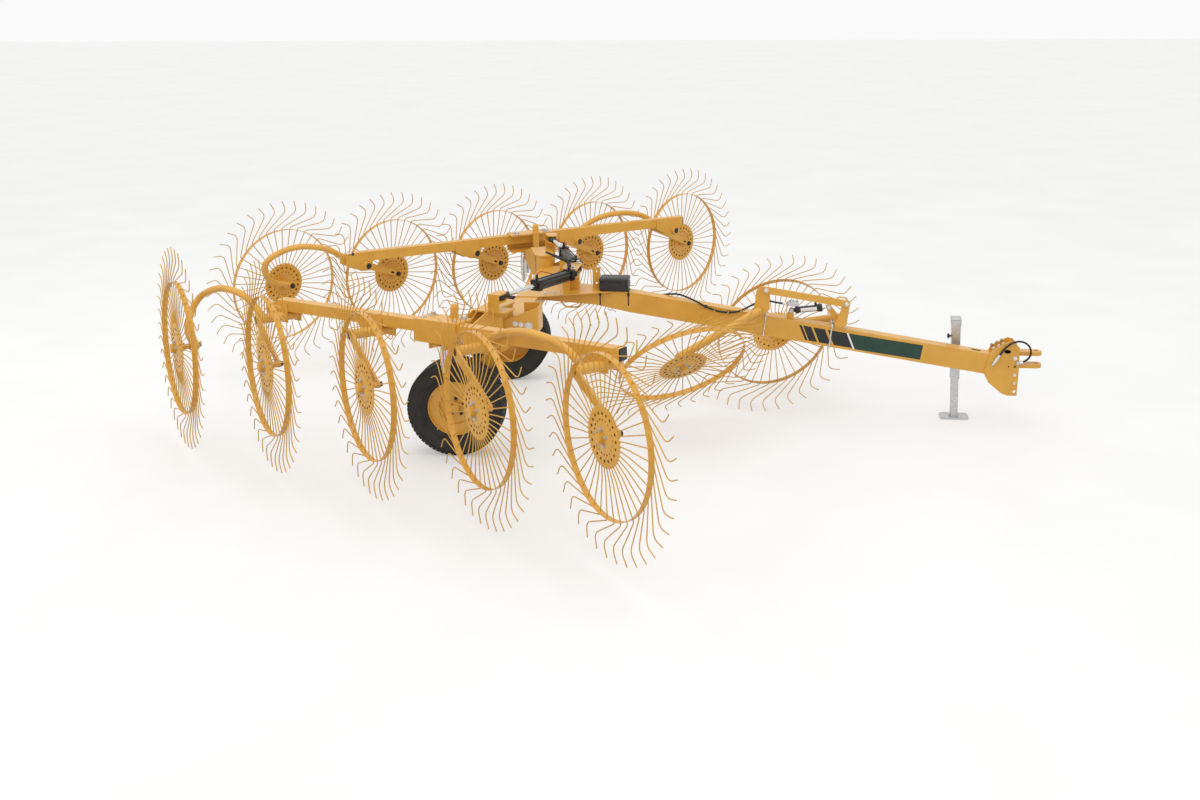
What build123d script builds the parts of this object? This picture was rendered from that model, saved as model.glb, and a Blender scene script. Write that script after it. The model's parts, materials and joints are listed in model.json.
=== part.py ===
from build123d import *
import os
from math import sin, cos, radians, hypot

# Carted V rake with ten rake wheels on two folding arms and two lifted kicker wheels.
# Millimetres. +X runs forward to the hitch, +Y to the left, +Z up.
# Places are measured from the ground below the middle of the axle.
# Every piece is then moved so that the hitch pin's bore centre is the origin.

# Hitch pin, the origin of the part
PIN_X = 4040.0
PIN_HEIGHT = 500.0

# General steel sizes
PLATE = 10.0
THIN_PLATE = 6.0
OVERRUN = 5.0
SEAT_GAP = 0.3
RUN_FIT = 0.05
PIN_GAP = 3.0

# Road wheels
TRACK = 1700.0
TYRE_RADIUS = 334.0
TYRE_WIDTH = 205.0
TREAD_HALF = 78.0
SHOULDER_DROP = 13.0
SIDEWALL_BULGE_RADIUS = 268.0
RIM_RADIUS = 197.0
RIM_SEAT_RADIUS = 188.0
RIM_HALF_WIDTH = 76.0
RIM_WALL = 5.0
RIM_DISC_INSET = 22.0
RIM_BOSS_RADIUS = 58.0
RIM_BOSS_LENGTH = 92.0
RIM_DISH_RADIUS = 118.0
RIM_DISH_DEPTH = 26.0
SPINDLE_RADIUS = 22.0
SPINDLE_END_LENGTH = 12.0

# Frame over the axle
CROSS_X = 380.0
CROSS_DEPTH = 160.0
CROSS_TOP = 955.0
CROSS_HEIGHT = 95.0
LEG_GAP = 210.0
LEG_WIDTH = 60.0
LEG_DEPTH = 95.0
GUSSET_FRONT_X = 980.0
GUSSET_FRONT_HALF = 75.0
GUSSET_REAR_HALF = 260.0
FOLD_X = 320.0
FOLD_Y = 780.0
DRUM_RADIUS = 70.0
DRUM_BOTTOM = 850.0
DRUM_TOP = 1040.0
FOLD_PIN_RADIUS = 25.0
HEAD_REACH = 120.0
HEAD_HALF = 76.0
HEAD_REAR_HEIGHT = 75.0
HANDLE_REAR_X = 590.0
HANDLE_FRONT_X = 750.0
HANDLE_DROP = 32.0
HANDLE_RADIUS = 6.0

# Drawbar
BAR_WIDTH = 102.0
BAR_HEIGHT = 150.0
BAR_WALL = 6.0
BAR_REAR_X = CROSS_X + CROSS_DEPTH / 2
BAR_REAR_DEPTH = 72.0
BAR_TAPER_X = 850.0
BAR_TAPER_DEPTH = 100.0
BAR_KINK_X = 1100.0
BAR_TOP = CROSS_TOP
BAR_FRONT_X = 3740.0
BAR_FALL = 9.0

# Hitch head
HITCH_PLATE = 12.0
HITCH_REAR_X = 3670.0
HITCH_FRONT_X = 3915.0
HITCH_TOP = 640.0
HITCH_BOTTOM = 240.0
TONGUE_WIDTH = 80.0
TONGUE_THICK = 28.0
TONGUE_GAP = 64.0
TONGUE_REAR_X = 3800.0
PIN_BORE_RADIUS = 16.5
HITCH_HOLE_RADIUS = 11.0
HITCH_HOLE_STEP = 62.0
HITCH_HOLE_COUNT = 6
HITCH_HOLE_INSET = 30.0

# Jack on the left of the drawbar
JACK_X = 3490.0
JACK_Y = 146.0
JACK_TUBE = 64.0
JACK_WALL = 5.0
JACK_TUBE_BOTTOM = 300.0
JACK_TUBE_TOP = 755.0
JACK_CAP_HEIGHT = 40.0
JACK_CAP_WIDTH = 74.0
JACK_LEG = 53.4
JACK_LEG_TOP = 640.0
JACK_FOOT = 210.0
JACK_FOOT_THICK = 10.0
JACK_TRAVEL = 280.0
JACK_BRACKET_HEIGHT = 90.0
JACK_BRACKET_LENGTH = 80.0

# Rake arms, along the row of wheel hubs and square to it
ARM_ANGLE = 27.3
HUB_ONE_X = 1282.0
HUB_ONE_Y = 2601.0
HUB_ONE_HEIGHT = 785.0
HUB_STEP = 902.0
HUBS_PER_ARM = 5
HUB_FALL = 14.0
BEAM_INSET = 470.0
BEAM_SIZE = 76.0
BEAM_WALL = 5.0
BEAM_FRONT_RUN = 210.0
BEAM_REAR_RUN = 3100.0
BEAM_FRONT_HEIGHT = 1092.0
BEAM_REAR_HEIGHT = 1006.0

# Clamp channel and swing bracket that carry each beam
CLAMP_RUN = 1440.0
CLAMP_LENGTH = 360.0
CLAMP_WALL = 12.0
CLAMP_DROP = 48.0
CLAMP_REACH = 70.0
POST_BACK = 150.0
POST_RADIUS = 26.0
POST_RISE = 70.0
SWING_HALF = 62.0
SWING_TOP_LENGTH = 270.0
SWING_TIP_DEPTH = 45.0
SWING_EAR_RADIUS = 82.0
SWING_START = 92.0
EYE_X = 347.0
EYE_Y = 972.0
EYE_RISE = 96.0
EYE_GAP = 7.0
EYE_LUG_HALF = 42.0

# Fold cylinders
BASE_X = 700.0
BASE_Y = 100.0
BASE_RISE = 60.0
BASE_POST_LENGTH = 90.0
BASE_POST_HALF = 55.0
EYE_THICK = 30.0
EYE_RADIUS = 27.0
EYE_PIN_RADIUS = 12.0
EYE_DRIFT = 5.5
BARREL_RADIUS = 33.0
BARREL_CAP = 76.0
BARREL_CAP_LENGTH = 42.0
BARREL_LENGTH = 470.0
BARREL_START = 46.0
TIE_RADIUS = 5.0
TIE_SPREAD = 29.0
ROD_RADIUS = 16.0
ROD_INSIDE = 358.0
ROD_FIT = 0.1

# Rake wheels
WHEEL_YAW = 38.2
HOOP_RADIUS = 459.0
HOOP_THICK = 4.0
HOOP_WIDTH = 38.0
TINE_COUNT = 40
TINE_SIDES = 3
TINE_SECTION_RADIUS = 4.2
TINE_ROOT_RADIUS = 158.0
STUB_RADIUS = 482.0
KNEE_RADIUS = 617.0
TIP_RADIUS = 697.0
KNEE_LAG = 22.4
TIP_LAG = 18.8
HUB_RADIUS = 172.0
HUB_SOCKET_RADIUS = 25.0
HUB_PLATE = 6.0
HUB_OFFSET = 15.0
HUB_BOSS_RADIUS = 30.0
HUB_BOSS_LENGTH = 92.0
AXLE_RADIUS = 19.0

# Cranks and the pivot tubes below the beam
CRANK_REACH = 480.0
PIVOT_DROP = 75.0
PIVOT_RADIUS = 33.0
PIVOT_BORE = 25.0
PIVOT_INNER = 372.0
PIVOT_OUTER = 88.0
CRANK_OUTER = 66.0
CRANK_THICK = 16.0
CRANK_WIDTH_TOP = 70.0
CRANK_WIDTH_LOW = 44.0
BRACKET_THICK = 8.0
BRACKET_BACK = 165.0
BRACKET_FRONT = 48.0
ARCH_RADIUS = 24.0
ARC_SHARE = 0.45
ARCH_BOSS_LENGTH = 60.0
REAR_ARCH = (
    # Run, inset, height
    (3300.0, 330.0, 1075.0),
    (3560.0, 310.0, 1105.0),
    (3800.0, 300.0, 990.0),
    (3760.0, 170.0, 800.0),
)
FRONT_BRACE = (
    (1190.0, 440.0, 1045.0),
    (1000.0, 350.0, 1135.0),
    (800.0, 325.0, 1175.0),
    (600.0, 312.0, 1160.0),
    (470.0, 308.0, 1110.0),
)

# Kicker wheels on the drawbar
KICK_REAR_X = 2052.0
KICK_FRONT_X = 2630.0
KICK_SHAFT_RADIUS = 20.0
KICK_LINK_X = 54.0
KICK_LINK_RISE = 153.0
KICK_BEARING_RADIUS = 30.0
KICK_BEARING_INNER = 24.0
KICK_BEARING_OUTER = 56.0
KICK_PLATE = 12.0
KICK_PLATE_Y = 72.0
KICK_LINK_Y = 88.0
KICK_LINK_DEPTH = 50.0
KICK_PIN_RADIUS = 10.0
KICK_ARM_RADIUS = 28.0
KICK_HUB_REAR = (1530.0, 545.0, 567.0)
KICK_HUB_FRONT = (2150.0, 545.0, 523.0)
KICK_NORMAL = (0.353, 0.627, 0.694)
KICK_LEVER_X = -71.0
KICK_LEVER_RISE = 105.0
KICK_BASE_X = 2287.0
KICK_BASE_RISE = 59.0
KICK_BARREL_RADIUS = 23.0
KICK_BARREL_LENGTH = 190.0
KICK_BARREL_START = 30.0
KICK_ROD_RADIUS = 10.0
KICK_EYE_RADIUS = 17.0
KICK_EYE_DRIFT = 4.2
KICK_EYE_THICK = 18.0

# Box and hose bracket on the drawbar
BOX_REAR_X = 880.0
BOX_LENGTH = 218.0
BOX_WIDTH = 150.0
BOX_HEIGHT = 96.0
BOX_FILLET = 14.0
HOSE_BRACKET_X = 850.0
HOSE_BRACKET_WIDTH = 58.0
HOSE_BRACKET_HEIGHT = 159.0
HOSE_BRACKET_Y = 20.0
HOSE_BRACKET_HOLE = 7.0
HOSE_BRACKET_HOLE_RISES = (40.0, 128.0)

# Hoses, each as points chosen along its route
HOSE_RADIUS = 7.0
LIFT_HOSE = (
    (1300.0, 62.0, 905.0),
    (1380.0, 61.0, 917.0),
    (1455.0, 36.0, 925.0),
    (1530.0, -12.0, 912.0),
    (1600.0, -58.0, 892.0),
    (1665.0, -70.0, 858.0),
    (1740.0, -70.0, 829.0),
    (1830.0, -68.0, 815.0),
    (1915.0, -65.0, 828.0),
    (1985.0, -59.0, 866.0),
    (2052.0, -47.0, 899.0),
    (2130.0, -40.0, 905.0),
    (2195.0, -36.0, 886.0),
    (2249.6, -33.0, 884.0),
)
PORT_X = 2250.0
PORT_TOP = 898.0
PORT_OUTER = 46.0
HITCH_HOSE = (
    (3760.0, -77.0, 522.0),
    (3788.0, -77.0, 564.0),
    (3820.0, -78.0, 606.0),
    (3860.0, -78.0, 636.0),
    (3906.0, -79.0, 650.0),
    (3950.0, -79.0, 640.0),
    (3982.0, -78.0, 612.0),
    (3994.0, -77.0, 570.0),
    (3984.0, -75.0, 530.0),
    (3953.0, -72.0, 500.0),
    (3915.0, -70.3, 486.0),
)
COUPLER_LENGTH = 66.0
COUPLER_RADIUS = 12.0
COUPLER_TIP_RADIUS = 7.0
COUPLER_TIP_SHARE = 0.4

# Directions and helpers
MIRROR_PLANE = Plane.XZ
TO_PIN = Location((-PIN_X, 0, -PIN_HEIGHT))
AXLE_HEIGHT = TYRE_RADIUS
LEG_Y = TRACK / 2 - LEG_GAP
POST_RUN = CLAMP_RUN + POST_BACK
BASE_HEIGHT = DRUM_TOP + BASE_RISE
EYE_HEIGHT = DRUM_TOP + EYE_RISE
TRAVEL = Vector(cos(radians(ARM_ANGLE)), -sin(radians(ARM_ANGLE)), 0)
INWARD = Vector(sin(radians(ARM_ANGLE)), cos(radians(ARM_ANGLE)), 0)
WHEEL_AXIS = Vector(cos(radians(WHEEL_YAW)), sin(radians(WHEEL_YAW)), 0)
WHEEL_ALONG = Vector(sin(radians(WHEEL_YAW)), -cos(radians(WHEEL_YAW)), 0)
UP = Vector(0, 0, 1)
HUB_ONE = Vector(HUB_ONE_X, -HUB_ONE_Y, HUB_ONE_HEIGHT)
BEAM_SLOPE = (BEAM_FRONT_HEIGHT - BEAM_REAR_HEIGHT) / (BEAM_REAR_RUN - BEAM_FRONT_RUN)


def block(x_low, x_high, y_low, y_high, z_low, z_high):
    size = (x_high - x_low, y_high - y_low, z_high - z_low)
    middle = ((x_low + x_high) / 2, (y_low + y_high) / 2, (z_low + z_high) / 2)
    return Pos(*middle) * Box(*size)


def rod_between(start, end, radius):
    run = end - start
    place = Plane(origin=start, z_dir=run)
    return place * Cylinder(radius, run.length, align=(Align.CENTER, Align.CENTER, Align.MIN))


def bar_between(start, end, width, depth, upright=UP):
    run = end - start
    side = upright.cross(run).normalized()
    place = Plane(origin=start, x_dir=side, z_dir=run)
    return place * Box(width, depth, run.length, align=(Align.CENTER, Align.CENTER, Align.MIN))


def slab(points, thick, plane):
    outline = plane * make_face(Polyline(*points, close=True))
    return extrude(outline, amount=thick, dir=plane.z_dir)


def arc_radii(points):
    # Each arc is as large as its two runs allow
    radii = []
    for before, corner, after in zip(points, points[1:], points[2:]):
        first = corner - before
        second = after - corner
        half_turn = radians(first.get_angle(second)) / 2
        radii.append(ARC_SHARE * min(first.length, second.length) * cos(half_turn) / sin(half_turn))
    return radii


def bent_tube(points, radius):
    route = FilletPolyline(*points, radius=arc_radii(points))
    start = Plane(origin=route @ 0, z_dir=route % 0)
    return sweep(start * Circle(radius), path=route)


def prism_ring(outer, inner, low, high, sides):
    turn = 180 / sides
    length = high - low
    body = extrude(Plane(origin=(0, 0, low)) * RegularPolygon(outer, sides, rotation=turn), amount=length)
    bore_plane = Plane(origin=(0, 0, low - OVERRUN))
    bore_length = length + OVERRUN + OVERRUN
    bore = extrude(bore_plane * RegularPolygon(inner, sides, rotation=turn), amount=bore_length)
    return body - bore


def side_plane(y):
    return Plane(origin=(0, y, 0), x_dir=(1, 0, 0), z_dir=(0, -1, 0))


def arm_point(run, inset, height):
    place = HUB_ONE - TRAVEL * run + INWARD * inset
    return Vector(place.X, place.Y, height)


def hub_height(index):
    return HUB_ONE_HEIGHT - HUB_FALL * index


def hub_point(index):
    return arm_point(HUB_STEP * index, 0, hub_height(index))


def beam_height(run):
    return BEAM_FRONT_HEIGHT - BEAM_SLOPE * (run - BEAM_FRONT_RUN)


def run_of(point):
    return -(point - HUB_ONE).dot(TRAVEL)


def pivot_point(index, along_axis):
    place = hub_point(index) - WHEEL_ALONG * CRANK_REACH + WHEEL_AXIS * along_axis
    middle = hub_point(index) - WHEEL_ALONG * CRANK_REACH + WHEEL_AXIS * PIVOT_INNER
    return Vector(place.X, place.Y, beam_height(run_of(middle)) - PIVOT_DROP)


def wheel_place(centre, axis, left):
    # The wheel's outer face looks away from the arm, and its local Y stays as upright as it can
    outer = axis * -1
    along = UP.cross(outer).normalized()
    if left:
        return Plane(origin=centre, x_dir=along * -1, z_dir=axis)
    return Plane(origin=centre, x_dir=along, z_dir=outer)


# Rake wheel, with its axis along Z and its outer face up. Its tines are round wire drawn as three flats,
# and its hoop and hub plate have one flat for each tine, which keeps the twelve wheels light.
def rake_tine():
    corners = [(TINE_ROOT_RADIUS, 0, HUB_OFFSET), (STUB_RADIUS, 0, 0)]
    for radius, lag in ((KNEE_RADIUS, KNEE_LAG), (TIP_RADIUS, TIP_LAG)):
        corners.append((radius * cos(radians(lag)), -radius * sin(radians(lag)), 0))
    path = Polyline(*corners)
    start = Plane(origin=path @ 0, x_dir=(0, 1, 0), z_dir=path % 0)
    section = start * RegularPolygon(TINE_SECTION_RADIUS, TINE_SIDES)
    return sweep(section, path=path, transition=Transition.RIGHT)


def rake_wheel(outer_side):
    hoop_half = HOOP_WIDTH / 2
    hoop_outer = HOOP_RADIUS + HOOP_THICK / 2
    hoop = prism_ring(hoop_outer, hoop_outer - HOOP_THICK, -hoop_half, hoop_half, TINE_COUNT)
    plate_low = HUB_OFFSET - HUB_PLATE / 2
    plate = prism_ring(HUB_RADIUS, HUB_SOCKET_RADIUS, plate_low, plate_low + HUB_PLATE, TINE_COUNT)
    boss = Cylinder(HUB_BOSS_RADIUS, HUB_BOSS_LENGTH)
    boss = boss - Cylinder(AXLE_RADIUS + RUN_FIT, HUB_BOSS_LENGTH + OVERRUN)
    tine = rake_tine()
    turns = [Rot(0, 0, 360 * index / TINE_COUNT) for index in range(TINE_COUNT)]
    wheel = (plate + hoop + Pos(0, 0, HUB_OFFSET) * boss).fuse(*[turn * tine for turn in turns])
    if outer_side:
        return wheel
    return mirror(wheel, about=Plane.XY)


# Road wheel, with its axis along Y
def tyre():
    half = TYRE_WIDTH / 2
    outline = Polyline(
        (RIM_SEAT_RADIUS, -RIM_HALF_WIDTH),
        (RIM_RADIUS, -RIM_HALF_WIDTH),
        (SIDEWALL_BULGE_RADIUS, -half),
        (TYRE_RADIUS - SHOULDER_DROP, -half + SHOULDER_DROP),
        (TYRE_RADIUS, -TREAD_HALF),
        (TYRE_RADIUS, TREAD_HALF),
        (TYRE_RADIUS - SHOULDER_DROP, half - SHOULDER_DROP),
        (SIDEWALL_BULGE_RADIUS, half),
        (RIM_RADIUS, RIM_HALF_WIDTH),
        (RIM_SEAT_RADIUS, RIM_HALF_WIDTH),
        close=True,
    )
    return revolve(make_face(outline), axis=Axis.Y)


def rim(side):
    outer = RIM_HALF_WIDTH - RIM_DISC_INSET
    boss_low = outer - RIM_BOSS_LENGTH
    outline = Polyline(
        (SPINDLE_RADIUS + RUN_FIT, boss_low),
        (RIM_BOSS_RADIUS, boss_low),
        (RIM_BOSS_RADIUS, outer - RIM_DISH_DEPTH - RIM_WALL),
        (RIM_DISH_RADIUS - RIM_WALL, outer - RIM_DISH_DEPTH - RIM_WALL),
        (RIM_DISH_RADIUS, outer - RIM_WALL),
        (RIM_SEAT_RADIUS - RIM_WALL, outer - RIM_WALL),
        (RIM_SEAT_RADIUS - RIM_WALL, -RIM_HALF_WIDTH),
        (RIM_SEAT_RADIUS - SEAT_GAP, -RIM_HALF_WIDTH),
        (RIM_SEAT_RADIUS - SEAT_GAP, RIM_HALF_WIDTH),
        (RIM_SEAT_RADIUS - RIM_WALL, RIM_HALF_WIDTH),
        (RIM_SEAT_RADIUS - RIM_WALL, outer),
        (RIM_DISH_RADIUS, outer),
        (RIM_DISH_RADIUS - RIM_WALL, outer - RIM_DISH_DEPTH),
        (SPINDLE_RADIUS + RUN_FIT, outer - RIM_DISH_DEPTH),
        close=True,
    )
    shape = revolve(make_face(outline), axis=Axis.Y)
    if side < 0:
        return mirror(shape, about=Plane.XZ)
    return shape


# Drawbar, bent from the level rear part down to the hitch
def bar_fall(x):
    return (x - BAR_KINK_X) * sin(radians(BAR_FALL)) / cos(radians(BAR_FALL))


def bar_top(x):
    return BAR_TOP - max(0.0, bar_fall(x))


BAR_UPRIGHT = BAR_HEIGHT / cos(radians(BAR_FALL))
BAR_END_LEAN = BAR_HEIGHT * sin(radians(BAR_FALL))
BAR_END_DEPTH = BAR_HEIGHT * cos(radians(BAR_FALL))


def drawbar_outline(inset):
    front = BAR_FRONT_X + (OVERRUN if inset else 0)
    rear = BAR_REAR_X - (OVERRUN if inset else 0)
    lean = BAR_END_LEAN
    return (
        (rear, BAR_TOP - inset),
        (BAR_KINK_X, BAR_TOP - inset),
        (front, bar_top(front) - inset),
        (front - lean, bar_top(front) - BAR_END_DEPTH + inset),
        (BAR_KINK_X, BAR_TOP - BAR_UPRIGHT + inset),
        (BAR_TAPER_X, BAR_TOP - BAR_TAPER_DEPTH + inset),
        (rear, BAR_TOP - BAR_REAR_DEPTH + inset),
    )


def bar_rear_low(x):
    along_share = (x - BAR_REAR_X) / (BAR_TAPER_X - BAR_REAR_X)
    return BAR_TOP - BAR_REAR_DEPTH - (BAR_TAPER_DEPTH - BAR_REAR_DEPTH) * along_share


def drawbar():
    half = BAR_WIDTH / 2
    outer = slab(drawbar_outline(0), BAR_WIDTH, side_plane(half))
    inner = slab(drawbar_outline(BAR_WALL), BAR_WIDTH - BAR_WALL - BAR_WALL, side_plane(half - BAR_WALL))
    handle_y = -half + HANDLE_RADIUS + HANDLE_RADIUS
    wall = BAR_WALL / 2
    handle_low = bar_rear_low(HANDLE_FRONT_X) - HANDLE_DROP
    handle = bent_tube(
        [Vector(HANDLE_REAR_X, handle_y, bar_rear_low(HANDLE_REAR_X) + wall),
         Vector(HANDLE_REAR_X + HANDLE_DROP, handle_y, handle_low),
         Vector(HANDLE_FRONT_X - HANDLE_DROP, handle_y, handle_low),
         Vector(HANDLE_FRONT_X, handle_y, bar_rear_low(HANDLE_FRONT_X) + wall)],
        HANDLE_RADIUS)
    return (outer - inner) + handle


# Hitch head with two cheek plates and the two tongues of the clevis
def hitch_head():
    rise = HITCH_TOP - HITCH_BOTTOM
    reach = HITCH_FRONT_X - HITCH_REAR_X
    outline_shares = (
        (0.00, 0.42), (0.10, 0.67), (0.25, 0.85), (0.72, 1.00), (0.87, 0.98),
        (1.00, 0.89), (1.00, 0.54), (0.95, 0.00), (0.68, 0.00), (0.50, 0.04), (0.12, 0.24),
    )
    points = [(HITCH_REAR_X + reach * x, HITCH_BOTTOM + rise * z) for x, z in outline_shares]
    cheek_y = BAR_WIDTH / 2
    right = slab(points, HITCH_PLATE, side_plane(-cheek_y))
    left = slab(points, HITCH_PLATE, side_plane(cheek_y + HITCH_PLATE))
    first = HITCH_BOTTOM + HITCH_HOLE_INSET
    hole_x = HITCH_FRONT_X - HITCH_HOLE_INSET
    holes = []
    for index in range(HITCH_HOLE_COUNT):
        centre = Vector(hole_x, 0, first + HITCH_HOLE_STEP * index)
        reach_y = Vector(0, BAR_WIDTH, 0)
        holes.append(rod_between(centre - reach_y, centre + reach_y, HITCH_HOLE_RADIUS))
    cheeks = (right + left) - holes
    web_low = PIN_HEIGHT - TONGUE_GAP / 2 - TONGUE_THICK
    web_high = PIN_HEIGHT + TONGUE_GAP / 2 + TONGUE_THICK
    web_front = HITCH_FRONT_X - HITCH_HOLE_INSET - HITCH_HOLE_INSET
    web = block(TONGUE_REAR_X, web_front, -cheek_y, cheek_y, web_low, web_high)
    tongues = []
    for low in (web_low, PIN_HEIGHT + TONGUE_GAP / 2):
        straight = block(TONGUE_REAR_X, PIN_X, -TONGUE_WIDTH / 2, TONGUE_WIDTH / 2, low, low + TONGUE_THICK)
        nose = Pos(PIN_X, 0, low + TONGUE_THICK / 2) * Cylinder(TONGUE_WIDTH / 2, TONGUE_THICK)
        tongues.append(straight + nose)
    bore = Pos(PIN_X, 0, PIN_HEIGHT) * Cylinder(PIN_BORE_RADIUS, web_high - web_low + OVERRUN)
    return (cheeks + web + tongues) - bore


# Jack tube with its bracket, and the leg that slides in it
def jack_tube():
    tube = Pos(JACK_X, JACK_Y, 0) * block(
        -JACK_TUBE / 2, JACK_TUBE / 2, -JACK_TUBE / 2, JACK_TUBE / 2, JACK_TUBE_BOTTOM, JACK_TUBE_TOP)
    half = JACK_TUBE / 2 - JACK_WALL
    hollow = Pos(JACK_X, JACK_Y, 0) * block(
        -half, half, -half, half, JACK_TUBE_BOTTOM - OVERRUN, JACK_TUBE_TOP - JACK_WALL)
    cap_half = JACK_CAP_WIDTH / 2
    cap = Pos(JACK_X, JACK_Y, 0) * block(
        -cap_half, cap_half, -cap_half, cap_half, JACK_TUBE_TOP, JACK_TUBE_TOP + JACK_CAP_HEIGHT)
    bracket_low = bar_top(JACK_X) - BAR_UPRIGHT / 2 - JACK_BRACKET_HEIGHT / 2
    bracket = block(
        JACK_X - JACK_BRACKET_LENGTH / 2, JACK_X + JACK_BRACKET_LENGTH / 2,
        BAR_WIDTH / 2, JACK_Y - JACK_TUBE / 2, bracket_low, bracket_low + JACK_BRACKET_HEIGHT)
    return (tube - hollow) + cap + bracket


def jack_leg():
    half = JACK_LEG / 2
    leg = Pos(JACK_X, JACK_Y, 0) * block(
        -half, half, -half, half, JACK_FOOT_THICK, JACK_LEG_TOP - JACK_TRAVEL)
    foot = Pos(JACK_X, JACK_Y, 0) * block(
        -JACK_FOOT / 2, JACK_FOOT / 2, -JACK_FOOT / 2, JACK_FOOT / 2, 0, JACK_FOOT_THICK)
    return leg + foot


# Frame over the axle, with its legs, spindles, fold drums and gusset
def cart_frame():
    cross_rear = CROSS_X - CROSS_DEPTH / 2
    cross_low = CROSS_TOP - CROSS_HEIGHT
    beam = block(cross_rear, BAR_REAR_X, -FOLD_Y, FOLD_Y, cross_low, CROSS_TOP)
    hollow = block(
        cross_rear + BAR_WALL, BAR_REAR_X - BAR_WALL, -FOLD_Y - OVERRUN, FOLD_Y + OVERRUN,
        cross_low + BAR_WALL, CROSS_TOP - BAR_WALL)
    frame = beam - hollow
    gusset = (
        (cross_rear, -GUSSET_REAR_HALF), (BAR_REAR_X, -GUSSET_REAR_HALF),
        (GUSSET_FRONT_X, -GUSSET_FRONT_HALF), (GUSSET_FRONT_X, GUSSET_FRONT_HALF),
        (BAR_REAR_X, GUSSET_REAR_HALF), (cross_rear, GUSSET_REAR_HALF),
    )
    top = Plane(origin=(0, 0, CROSS_TOP))
    frame = frame + slab(gusset, THIN_PLATE, top)
    for side in (-1, 1):
        drum_height = DRUM_TOP - DRUM_BOTTOM
        drum_at = Pos(FOLD_X, side * FOLD_Y, (DRUM_TOP + DRUM_BOTTOM) / 2)
        frame = frame - drum_at * Cylinder(DRUM_RADIUS - OVERRUN, drum_height)
        frame = frame + drum_at * Cylinder(DRUM_RADIUS, drum_height)
        leg_top = Vector(CROSS_X, side * LEG_Y, CROSS_TOP - CROSS_HEIGHT / 2)
        leg_foot = Vector(0, side * LEG_Y, AXLE_HEIGHT)
        frame = frame + bar_between(leg_foot, leg_top, LEG_WIDTH, LEG_DEPTH)
        knuckle = Vector(0, side * (LEG_Y - LEG_WIDTH / 2), AXLE_HEIGHT)
        disc_y = TRACK / 2 + RIM_HALF_WIDTH - RIM_DISC_INSET
        end = Vector(0, side * (disc_y + SPINDLE_END_LENGTH - RIM_DISH_DEPTH), AXLE_HEIGHT)
        boss = Vector(0, side * (LEG_Y + LEG_WIDTH / 2), AXLE_HEIGHT)
        frame = frame + rod_between(knuckle, boss, LEG_DEPTH / 2) + rod_between(knuckle, end, SPINDLE_RADIUS)
    for side in (-1, 1):
        frame = frame + fold_head(side)
        drum_at = Pos(FOLD_X, side * FOLD_Y, DRUM_TOP)
        frame = frame - drum_at * Cylinder(FOLD_PIN_RADIUS + RUN_FIT, FOLD_Y)
    return frame + hose_bracket()


# Open box ahead of each fold drum, with a slanted outer cheek
def fold_head(side):
    low = CROSS_TOP - CROSS_HEIGHT
    front = BAR_REAR_X + HEAD_REACH
    top = DRUM_TOP - OVERRUN
    inner_y = FOLD_Y - HEAD_HALF
    outer_y = FOLD_Y + HEAD_HALF
    cheek = slab(
        ((FOLD_X, low), (front, low), (front, top), (FOLD_X, low + HEAD_REAR_HEIGHT)),
        PLATE, side_plane(outer_y))
    wall = block(BAR_REAR_X - BAR_WALL, front, inner_y, inner_y + PLATE, low, top)
    floor = block(BAR_REAR_X - BAR_WALL, front, inner_y, outer_y, low, low + PLATE)
    end = block(front - PLATE, front, inner_y, outer_y, low, top)
    head = cheek + wall + floor + end
    if side < 0:
        return mirror(head, about=MIRROR_PLANE)
    return head


def hose_bracket():
    low = CROSS_TOP + THIN_PLATE
    plate = block(
        HOSE_BRACKET_X - HOSE_BRACKET_WIDTH / 2, HOSE_BRACKET_X + HOSE_BRACKET_WIDTH / 2,
        HOSE_BRACKET_Y, HOSE_BRACKET_Y + THIN_PLATE, low, low + HOSE_BRACKET_HEIGHT)
    reach = Vector(0, BAR_WIDTH, 0)
    for rise in HOSE_BRACKET_HOLE_RISES:
        centre = Vector(HOSE_BRACKET_X, HOSE_BRACKET_Y, low + rise)
        plate = plate - rod_between(centre - reach, centre + reach, HOSE_BRACKET_HOLE)
    return plate


def fold_anchor():
    half = BASE_POST_HALF
    low = CROSS_TOP + THIN_PLATE
    ear_gap = EYE_THICK / 2 + EYE_GAP
    post = block(
        BASE_X - BASE_POST_LENGTH, BASE_X - EYE_RADIUS - PLATE, -half, half,
        low, BASE_HEIGHT + ear_gap + PLATE)
    anchor = post
    for level in (BASE_HEIGHT - ear_gap - PLATE, BASE_HEIGHT + ear_gap):
        reach = BASE_Y
        points = (
            (BASE_X - BASE_POST_LENGTH, -half), (BASE_X - EYE_RADIUS, -reach - EYE_RADIUS),
            (BASE_X + EYE_RADIUS, -reach - EYE_RADIUS), (BASE_X + EYE_RADIUS, reach + EYE_RADIUS),
            (BASE_X - EYE_RADIUS, reach + EYE_RADIUS), (BASE_X - BASE_POST_LENGTH, half),
        )
        anchor = anchor + slab(points, PLATE, Plane(origin=(0, 0, level)))
    web = block(
        BASE_X - EYE_RADIUS - PLATE - OVERRUN, BASE_X + EYE_RADIUS, -PLATE, PLATE,
        low, BASE_HEIGHT - ear_gap)
    anchor = anchor + web
    for side in (-1, 1):
        height = ear_gap + ear_gap + PLATE + PLATE
        anchor = anchor + Pos(BASE_X, side * BASE_Y, BASE_HEIGHT) * Cylinder(EYE_PIN_RADIUS, height)
    return anchor


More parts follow.
